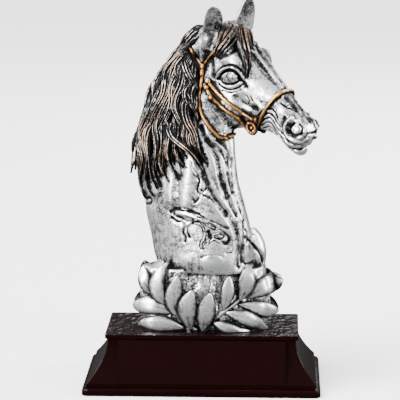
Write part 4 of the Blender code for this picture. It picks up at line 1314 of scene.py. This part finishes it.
# %% Leaves
# each leaf as drawn: base, middle and tip of its rib, its full width, how blunt its tip is, its lift
LEAVES = (
    (((191, 327), (188, 309), (193, 289)), 16, 0.2, 1.0),
    (((181, 318), (176, 299), (178, 275)), 15, 0.3, 0.4),
    (((169, 307), (161, 289), (166, 267)), 14, 0.3, 0.2),
    (((155, 298), (148, 282), (148, 267)), 12, 0.1, -1.0),
    (((177, 313), (157, 305), (139, 304)), 15, 1.0, -0.4),
    (((184, 326), (164, 321), (146, 319)), 13, 0.4, 0.5),
    (((203, 329), (206, 311), (210, 291)), 15, 0.2, 1.0),
    (((223, 310), (227, 293), (228, 274)), 11, 0.2, 0.4),
    (((239, 300), (245, 284), (246, 267)), 14, 0.6, 0.4),
    (((246, 298), (262, 286), (280, 277)), 16, 1.0, -0.8),
    (((239, 304), (256, 307), (272, 310)), 13, 1.0, -0.6),
    (((226, 312), (243, 316), (263, 323)), 12, 0.3, 0.5),
    (((213, 321), (230, 326), (249, 332)), 10, 0.1, 0.6),
)
STEMS = (
    ((197, 329), (186, 322), (175, 311), (163, 301), (152, 294)),
    ((205, 329), (217, 317), (228, 308), (238, 300), (246, 288), (254, 280)),
)
LEAF_THICK = 1.7
LEAF_POINTS = 25
STEM_POINTS = 24
# half width over the drawn width: over a half, because a leaf's edges turn away from the eye
LEAF_HALF = 0.64
# the leaves turn this much from the block's own side towards the front
LEAF_LEAN = Vector((0, -0.7, 0.1))


def leaf(bm, centres, facing, half, thick, sides=28):
    """A leaf with a crowned back and a fine rib; the marks are 1 on its crown and 0 at its edge."""
    rings, marks = [], []
    last = len(centres) - 1
    widest = max(half)
    for i, (centre, outward, h) in enumerate(zip(centres, facing, half)):
        along = (centres[min(i + 1, last)] - centres[max(i - 1, 0)]).normalized()
        off = (outward - along * outward.dot(along)).normalized()
        across = along.cross(off)
        t = i / last
        ring, mark = [], []
        for a in np.linspace(0, 2 * math.pi, sides, endpoint=False):
            c, s = math.cos(a), math.sin(a)
            rib = 0.16 * math.exp(-((c / 0.13) ** 2)) * (s > 0) * (1 - t)
            height = thick * (0.35 + 0.65 * h / widest) * (math.copysign(abs(s) ** 0.8, s) - rib)
            ring.append(centre + across * (h * c) + off * height)
            mark.append(abs(s) ** 1.1 * (1 - 2.5 * rib) * (1.0 if s > 0 else 0.8))
        rings.append(ring)
        marks.append(mark)
    tube(bm, rings, marks)


def to_the_back(places):
    return [Vector((p.x, -p.y, p.z)) for p in places]


def make_laurel():
    # how many millimetres a point of the drawing covers at the figure
    millimetres = EYE.length / FOCUS
    bm = bmesh.new()
    bm.verts.layers.float.new("mark")
    for drawn, width, blunt, lift in LEAVES:
        outs = ((0, 0.5, 0.8, 1), (1.0 + lift, 3.2 + lift, 3.9 + lift, 4.1 + lift))
        centres, outwards = seen_path(BLOCK_SKIN, drawn, outs, LEAF_POINTS, 3)
        t = np.linspace(0, 1, LEAF_POINTS)
        pointed = np.sin(math.pi * np.clip(t, 0.02, 0.985) ** 1.05) ** 0.72
        round_tip = np.sin(math.pi * np.clip(t, 0.02, 0.99) ** 1.5) ** 0.5
        shape = (1 - blunt) * pointed + blunt * round_tip
        half = LEAF_HALF * width * millimetres * np.clip(shape / shape.max(), 0.05, 1)
        facing = [(o + LEAF_LEAN).normalized() for o in outwards]
        leaf(bm, centres, facing, half, LEAF_THICK)
        leaf(bm, to_the_back(centres), to_the_back(facing), half, LEAF_THICK)
    for drawn in STEMS:
        centres, outwards = seen_path(BLOCK_SKIN, drawn, ((0, 1), (0.9, 0.9)), STEM_POINTS, 3)
        sizes = [(1.3 - 0.4 * i / (STEM_POINTS - 1), 1.3) for i in range(STEM_POINTS)]
        marks = [[max(0.0, math.sin(a)) for a in np.linspace(0, 2 * math.pi, 12, endpoint=False)]]
        marks *= STEM_POINTS
        tube(bm, cord_rings(centres, outwards, sizes), marks)
        tube(bm, cord_rings(to_the_back(centres), to_the_back(outwards), sizes), marks)
    close_and_face_out(bm)
    everything = bm.verts[:] + bm.edges[:] + bm.faces[:]
    bmesh.ops.bisect_plane(bm, geom=everything, plane_co=(0, 0, 0), plane_no=(0, 0, -1), clear_outer=True)
    close_and_face_out(bm)
    mesh = bpy.data.meshes.new("laurel")
    bm.to_mesh(mesh)
    bm.free()
    print("laurel:", 2 * len(LEAVES), "leaves,", len(mesh.polygons), "faces")
    return mesh


LAUREL = make_laurel()

# %% [markdown]
# ## Where the wash and the painted shade stay
# Black wash runs off whatever stands proud and dries in whatever lies deep. Both can be measured on the
# shape itself. Two values tell how much of a point's sky is covered, from close by and from further off;
# they darken the paint both as the black wash that dries in hollows and as painted shade, most of all with
# the further reach, under the hair and between the parts. Two more tell how far it stands proud of the fine
# and of the broad shape around it; on hair, bridle and leaves these come from the marks made with each tube.
# All four are stored on the points, and the paint reads them.

# %% Measure hollows and ridges
# reach of the covered-sky rays in mm: the near value stands mostly for the wash, the far one mostly for
# painted shade
NEAR_REACH = 2.6
FAR_REACH = 12.0
SKY_RAYS = 12

# how much of their wash and painted shade the ears and the block keep; the ears' paint is lifted to at least
# this proudness as painted light, since the lamps leave their hollows dim; and how far the block's paint is
# lifted towards the bright silver
EARS_NEAR, EARS_FAR, EARS_PAINTED_LIGHT = 0.2, 0.06, 0.2
BLOCK_NEAR, BLOCK_FAR, BLOCK_BROAD = 0.55, 0.25, 0.4
# the forehead side of the head is darkened a little: wash, and painted shade from the forelock
BROW_WASH_AND_SHADE = 0.1


def sky_directions(count):
    """Directions spread over the upper half, denser about its middle."""
    found = []
    for i in range(count):
        height = math.sqrt(1 - (i + 0.5) / count * 0.93)
        turn = i * math.pi * (3 - math.sqrt(5))
        flat = math.sqrt(1 - height**2)
        found.append((flat * math.cos(turn), flat * math.sin(turn), height))
    return found


def hidden_sky(points, normals, tree):
    """How much of its sky each point has covered from near by and from further off, each 0 to 1."""
    near, far = np.zeros(len(points)), np.zeros(len(points))
    directions = sky_directions(SKY_RAYS)
    helper = np.where(np.abs(normals[:, :1]) < 0.9, (1.0, 0.0, 0.0), (0.0, 1.0, 0.0))
    side = np.cross(normals, helper)
    side /= np.maximum(np.linalg.norm(side, axis=1), 1e-9)[:, None]
    other = np.cross(normals, side)
    starts = points + normals * 0.12
    for a, b, c in directions:
        aims = side * a + other * b + normals * c
        for i in range(len(points)):
            gap = tree.ray_cast(starts[i], aims[i], FAR_REACH)[3]
            if gap is not None:
                far[i] += 1 - gap / FAR_REACH
                near[i] += max(0.0, 1 - gap / NEAR_REACH)
    return near / len(directions), far / len(directions)


def proudness(mesh, points, normals, rounds):
    """How far each point stands out from the smoothed shape, in mm; negative in grooves."""
    edges, degree = edges_of(mesh)
    calm = points.copy()
    for _ in range(rounds):
        calm = 0.5 * calm + 0.5 * neighbour_mean(calm, edges, degree)
    return ((points - calm) * normals).sum(1)


def store(mesh, name, values):
    layer = mesh.attributes.new(name, "FLOAT", "POINT")
    layer.data.foreach_set("value", values.astype(np.float32))


def everything_tree(meshes):
    """One tree over all the pieces of the casting."""
    points, faces, start = [], [], 0
    for mesh in meshes:
        points.extend(map(tuple, points_of(mesh)))
        faces.extend(tuple(i + start for i in face.vertices) for face in mesh.polygons)
        start += len(mesh.vertices)
    return BVHTree.FromPolygons(points, faces)


def marks_of(mesh, broad_share):
    """The proud and broad values of a mesh made of tubes, from its marks."""
    mark = np.empty(len(mesh.vertices), np.float32)
    mesh.attributes["mark"].data.foreach_get("value", mark)
    proud = 1.5 * (mark.astype(float) - 0.5)
    return proud, broad_share * proud


def favour_skin(points, near, far, proud, broad):
    """Wash and painted shade by region: less in the ears and on the block, more on the brow, and painted
    light in the ears; changes the arrays in place.
    """
    u, v, w = in_head(points).T
    # painted shade from the forelock, with wash, on the forehead side of the head
    near += BROW_WASH_AND_SHADE * np.clip((v + 14) / 8, 0, 1)
    ears = at_ears(points) | ((v > -9) & (np.abs(w) > 7.5) & (u < 13))
    far[ears] *= EARS_FAR
    near[ears] *= EARS_NEAR
    # painted light: the ears' paint is lifted towards the bright silver
    proud[ears] = np.maximum(proud[ears], EARS_PAINTED_LIGHT)
    broad[ears] = np.maximum(broad[ears], EARS_PAINTED_LIGHT)
    block = points[:, 2] < BLOCK_HEIGHT
    far[block] *= BLOCK_FAR
    near[block] *= BLOCK_NEAR
    broad[block] += BLOCK_BROAD


def measure(meshes):
    tree = everything_tree(meshes.values())
    for name, mesh in meshes.items():
        mesh.update()
        points, normals = points_of(mesh), points_of(mesh, "normal")
        near, far = hidden_sky(points, normals, tree)
        if "mark" in mesh.attributes:
            proud, broad = marks_of(mesh, 0.9 if name == "laurel" else 0.4)
        else:
            proud = 4.0 * proudness(mesh, points, normals, 6)
            broad = 1.4 * proudness(mesh, points, normals, 60)
            favour_skin(points, near, far, proud, broad)
        edges, degree = edges_of(mesh)
        smoother = np.stack([near, far], 1)
        smoother = 0.5 * smoother + 0.5 * neighbour_mean(smoother, edges, degree)
        # the covered sky, stored for the paint: black wash and painted shade
        store(mesh, "near", smoother[:, 0])
        store(mesh, "far", smoother[:, 1])
        store(mesh, "proud", np.clip(proud, -1, 1))
        store(mesh, "broad", np.clip(broad, -1, 1))
        print(f"{name}: near {near.mean():.3f}, far {far.mean():.3f}, proud {proud.std():.3f}")


CASTING = {
    "horse_skin": SKIN,
    "mane_near": MANE_NEAR,
    "mane_crest": MANE_CREST,
    "mane_far": MANE_FAR,
    "forelock": FORELOCK_MESH,
    "bridle": BRIDLE,
    "laurel": LAUREL,
}
measure(CASTING)

# %% [markdown]
# ## Finishes
# The silver is a metal paint, wiped over black. The effect is one node group: it adds up the four stored
# values to tell how worn and how shaded a place is, so that the colour carries painted shade as well as the
# wash, breaks the edge with noise, as a rag leaves it, and puts out a colour, a roughness, how metallic it
# is and a height. The bridle and the hair use the same group with warmer paint.

# %% Antique paint and painted shade
# what each stored value does to the wear and the painted shade; covered sky keeps the black in, as wash and
# as painted shade, proud places lose it
NEAR_WASH_AND_SHADE = -1.6
FAR_SHADE_AND_WASH = -0.75
WEAR_PROUD = 0.45

# black turns to the middle paint over the first span of wear and shade, and that to the bright one over the
# second
LOW_SPAN = (0.02, 0.42)
HIGH_SPAN = (0.38, 0.88)

# scale, detail and roughness of the speckle, the patches and the clouds
SPECKLE = (1300.0, 2.0, 0.6)
PATCHES = (330.0, 4.0, 0.65)
CLOUDS = (75.0, 2.0, 0.5)


def socket(group, name, kind, default=None, out=False):
    made = group.interface.new_socket(name=name, in_out="OUTPUT" if out else "INPUT", socket_type=kind)
    if default is not None:
        made.default_value = default
    return made


def math_node(nodes, links, kind, a, b=None, clamp=False):
    node = nodes.new("ShaderNodeMath")
    node.operation = kind
    node.use_clamp = clamp
    for place, value in enumerate((a, b)):
        if value is None:
            continue
        if isinstance(value, (int, float)):
            node.inputs[place].default_value = value
        else:
            links.new(value, node.inputs[place])
    return node.outputs[0]


def mix_colour(nodes, links, factor, a, b, kind="MIX"):
    node = nodes.new("ShaderNodeMix")
    node.data_type = "RGBA"
    node.blend_type = kind
    for name, value in (("Factor", factor), ("A", a), ("B", b)):
        wanted = "VALUE" if name == "Factor" else "RGBA"
        place = next(s for s in node.inputs if s.name == name and s.type == wanted)
        if isinstance(value, (int, float, tuple)):
            place.default_value = value
        else:
            links.new(value, place)
    return next(s for s in node.outputs if s.type == "RGBA")


def noise_node(nodes, links, place, scale, detail=3.0, rough=0.55):
    node = nodes.new("ShaderNodeTexNoise")
    node.inputs["Scale"].default_value = scale
    node.inputs["Detail"].default_value = detail
    node.inputs["Roughness"].default_value = rough
    links.new(place, node.inputs["Vector"])
    return node.outputs["Fac"]


def ramp(nodes, links, value, low, high):
    node = nodes.new("ShaderNodeMapRange")
    node.interpolation_type = "SMOOTHSTEP"
    node.inputs["From Min"].default_value = low
    node.inputs["From Max"].default_value = high
    links.new(value, node.inputs["Value"])
    return node.outputs["Result"]


def stored_value(nodes, name):
    node = nodes.new("ShaderNodeAttribute")
    node.attribute_name = name
    return node.outputs["Fac"]


def product(nodes, links, a, b):
    return math_node(nodes, links, "MULTIPLY", a, b)


def total(nodes, links, terms):
    """The sum of values, each times its own weight."""
    result = None
    for value, weight in terms:
        term = product(nodes, links, value, weight)
        result = term if result is None else math_node(nodes, links, "ADD", result, term)
    return result


def antique_paint_and_shade():
    group = bpy.data.node_groups.new("antique_paint_and_shade", "ShaderNodeTree")
    socket(group, "Dark", "NodeSocketColor", (0.01, 0.01, 0.01, 1))
    socket(group, "Middle", "NodeSocketColor", (0.3, 0.3, 0.3, 1))
    socket(group, "Bright", "NodeSocketColor", (0.8, 0.8, 0.8, 1))
    socket(group, "Tint", "NodeSocketColor", (0.7, 0.5, 0.3, 1))
    socket(group, "Tint Amount", "NodeSocketFloat", 0.0)
    socket(group, "Wear", "NodeSocketFloat", 0.5)
    socket(group, "Mottle", "NodeSocketFloat", 0.4)
    socket(group, "Color", "NodeSocketColor", out=True)
    socket(group, "Roughness", "NodeSocketFloat", out=True)
    socket(group, "Metallic", "NodeSocketFloat", out=True)
    socket(group, "Height", "NodeSocketFloat", out=True)
    nodes, links = group.nodes, group.links
    entry, leave = nodes.new("NodeGroupInput"), nodes.new("NodeGroupOutput")
    place = nodes.new("ShaderNodeTexCoord").outputs["Object"]
    near, far = stored_value(nodes, "near"), stored_value(nodes, "far")
    proud, broad = stored_value(nodes, "proud"), stored_value(nodes, "broad")
    fine, patch, cloud = (noise_node(nodes, links, place, *kind) for kind in (SPECKLE, PATCHES, CLOUDS))
    grain = total(nodes, links, ((fine, 1.1), (patch, 1.3), (cloud, 1.1)))
    grain = math_node(nodes, links, "SUBTRACT", grain, 1.75)
    grain = product(nodes, links, grain, entry.outputs["Mottle"])
    # near and far darken the colour as the black wash and as painted shade where the sky is covered
    terms = ((near, NEAR_WASH_AND_SHADE), (far, FAR_SHADE_AND_WASH), (proud, WEAR_PROUD), (broad, WEAR_PROUD), (grain, 1.0))
    wear_and_shade = math_node(nodes, links, "ADD", total(nodes, links, terms), entry.outputs["Wear"])
    low = ramp(nodes, links, wear_and_shade, *LOW_SPAN)
    high = ramp(nodes, links, wear_and_shade, *HIGH_SPAN)
    crest = ramp(nodes, links, total(nodes, links, ((proud, 1.0), (cloud, 0.6))), 0.25, 0.65)
    warm = ramp(nodes, links, cloud, 0.38, 0.60)
    warm = product(nodes, links, warm, entry.outputs["Tint Amount"])
    warm = product(nodes, links, warm, crest)
    bright = mix_colour(nodes, links, warm, entry.outputs["Bright"], entry.outputs["Tint"])
    colour = mix_colour(nodes, links, high, entry.outputs["Middle"], bright)
    colour = mix_colour(nodes, links, low, entry.outputs["Dark"], colour)
    links.new(colour, leave.inputs["Color"])
    rough = total(nodes, links, ((low, -0.22), (high, -0.06), (fine, 0.22)))
    links.new(math_node(nodes, links, "ADD", rough, 0.47), leave.inputs["Roughness"])
    metal = math_node(nodes, links, "ADD", product(nodes, links, low, 0.04), 0.90)
    links.new(metal, leave.inputs["Metallic"])
    links.new(total(nodes, links, ((fine, 0.5), (patch, 0.5))), leave.inputs["Height"])
    return group


PAINT_GROUP = antique_paint_and_shade()


def painted(name, middle, bright, tint=(0.7, 0.5, 0.3), amount=0.0, wear_and_shade=0.55, mottle=1.0):
    """A metal paint over black, rubbed off the raised places, with painted shade where its sky is covered.
    """
    made = bpy.data.materials.new(name)
    made.use_nodes = True
    nodes, links = made.node_tree.nodes, made.node_tree.links
    shader = nodes["Principled BSDF"]
    group = nodes.new("ShaderNodeGroup")
    group.node_tree = PAINT_GROUP
    group.inputs["Dark"].default_value = (0.004, 0.004, 0.0045, 1)
    group.inputs["Middle"].default_value = (*middle, 1)
    group.inputs["Bright"].default_value = (*bright, 1)
    group.inputs["Tint"].default_value = (*tint, 1)
    group.inputs["Tint Amount"].default_value = amount
    group.inputs["Wear"].default_value = wear_and_shade
    group.inputs["Mottle"].default_value = mottle
    links.new(group.outputs["Color"], shader.inputs["Base Color"])
    links.new(group.outputs["Roughness"], shader.inputs["Roughness"])
    links.new(group.outputs["Metallic"], shader.inputs["Metallic"])
    bump = nodes.new("ShaderNodeBump")
    bump.inputs["Strength"].default_value = 0.6
    bump.inputs["Distance"].default_value = 0.00025
    links.new(group.outputs["Height"], bump.inputs["Height"])
    links.new(bump.outputs["Normal"], shader.inputs["Normal"])
    return made


SILVER = painted("antique_silver_paint", (0.16, 0.16, 0.165), (0.80, 0.81, 0.82), wear_and_shade=0.47, mottle=1.6)
LEAF_PAINT = painted("laurel_paint", (0.13, 0.13, 0.135), (0.88, 0.89, 0.90), wear_and_shade=0.36, mottle=0.7)
HAIR = painted("hair_paint", (0.05, 0.048, 0.046), (0.76, 0.75, 0.74),
               tint=(0.62, 0.35, 0.19), amount=0.65, wear_and_shade=0.34, mottle=1.2)
FORELOCK_PAINT = painted("forelock_paint", (0.09, 0.08, 0.07), (0.80, 0.78, 0.76),
                         tint=(0.68, 0.36, 0.18), amount=0.8, wear_and_shade=0.46, mottle=1.2)
GOLD = painted("bridle_gold_paint", (0.11, 0.042, 0.011), (0.56, 0.27, 0.08),
               tint=(0.6, 0.35, 0.12), amount=0.2, wear_and_shade=0.34, mottle=1.1)
print("paints:", [m.name for m in (SILVER, LEAF_PAINT, HAIR, FORELOCK_PAINT, GOLD)])

# %% Place the casting
FINISH = {
    "horse_skin": SILVER,
    "mane_near": HAIR,
    "mane_crest": HAIR,
    "mane_far": HAIR,
    "forelock": FORELOCK_PAINT,
    "bridle": GOLD,
    "laurel": LEAF_PAINT,
}


def place_casting():
    for name, mesh in CASTING.items():
        points = points_of(mesh)
        points[:, 2] += SEAT
        mesh.vertices.foreach_set("co", (points * MM).ravel())
        mesh.update()
        mesh.name = name
        mesh.materials.clear()
        mesh.materials.append(FINISH[name])
        mesh.polygons.foreach_set("use_smooth", [True] * len(mesh.polygons))
        piece = bpy.data.objects.new(name, mesh)
        bpy.context.scene.collection.objects.link(piece)
        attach(piece, "root")
        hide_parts("horse_bust")


place_casting()
print("casting placed at", round(SEAT, 2), "mm")

# %% [markdown]
# ## Plinth
# The plinth is a plastic moulding in dark mahogany. Its solid already has the right shape, so it keeps its
# mesh and gets its finish: a deep gloss over a red brown that is nearly black, with a fine crinkle on its
# top.

# %% Mahogany plastic
MAHOGANY_DARK = (0.0022, 0.0003, 0.0004, 1)
MAHOGANY_LIGHT = (0.0040, 0.0006, 0.0007, 1)
GLOSS_ROUGHNESS = 0.14
# depth of the crinkle in metres
CRINKLE_DEPTH = 0.0020


def mahogany():
    made = bpy.data.materials.new("mahogany_gloss")
    made.use_nodes = True
    nodes, links = made.node_tree.nodes, made.node_tree.links
    shader = nodes["Principled BSDF"]
    place = nodes.new("ShaderNodeTexCoord").outputs["Object"]
    broad = noise_node(nodes, links, place, 40.0, 3.0)
    colour = mix_colour(nodes, links, broad, MAHOGANY_DARK, MAHOGANY_LIGHT)
    links.new(colour, shader.inputs["Base Color"])
    grain = nodes.new("ShaderNodeMapping")
    grain.inputs["Scale"].default_value = (1.0, 0.7, 1.0)
    links.new(place, grain.inputs["Vector"])
    crinkle = noise_node(nodes, links, grain.outputs["Vector"], 260.0, 3.0, 0.55)
    facing = nodes.new("ShaderNodeSeparateXYZ")
    links.new(nodes.new("ShaderNodeNewGeometry").outputs["Normal"], facing.inputs[0])
    upward = ramp(nodes, links, facing.outputs["Z"], 0.9, 0.99)
    crinkle = math_node(nodes, links, "MULTIPLY", crinkle, upward)
    bump = nodes.new("ShaderNodeBump")
    bump.inputs["Strength"].default_value = 1.0
    bump.inputs["Distance"].default_value = CRINKLE_DEPTH
    links.new(crinkle, bump.inputs["Height"])
    links.new(bump.outputs["Normal"], shader.inputs["Normal"])
    shader.inputs["Roughness"].default_value = GLOSS_ROUGHNESS
    shader.inputs["Specular IOR Level"].default_value = 0.05
    return made


for obj in bpy.data.objects:
    if obj.name == "plinth":
        for slot in obj.material_slots:
            slot.material = mahogany()
print("plinth finished")
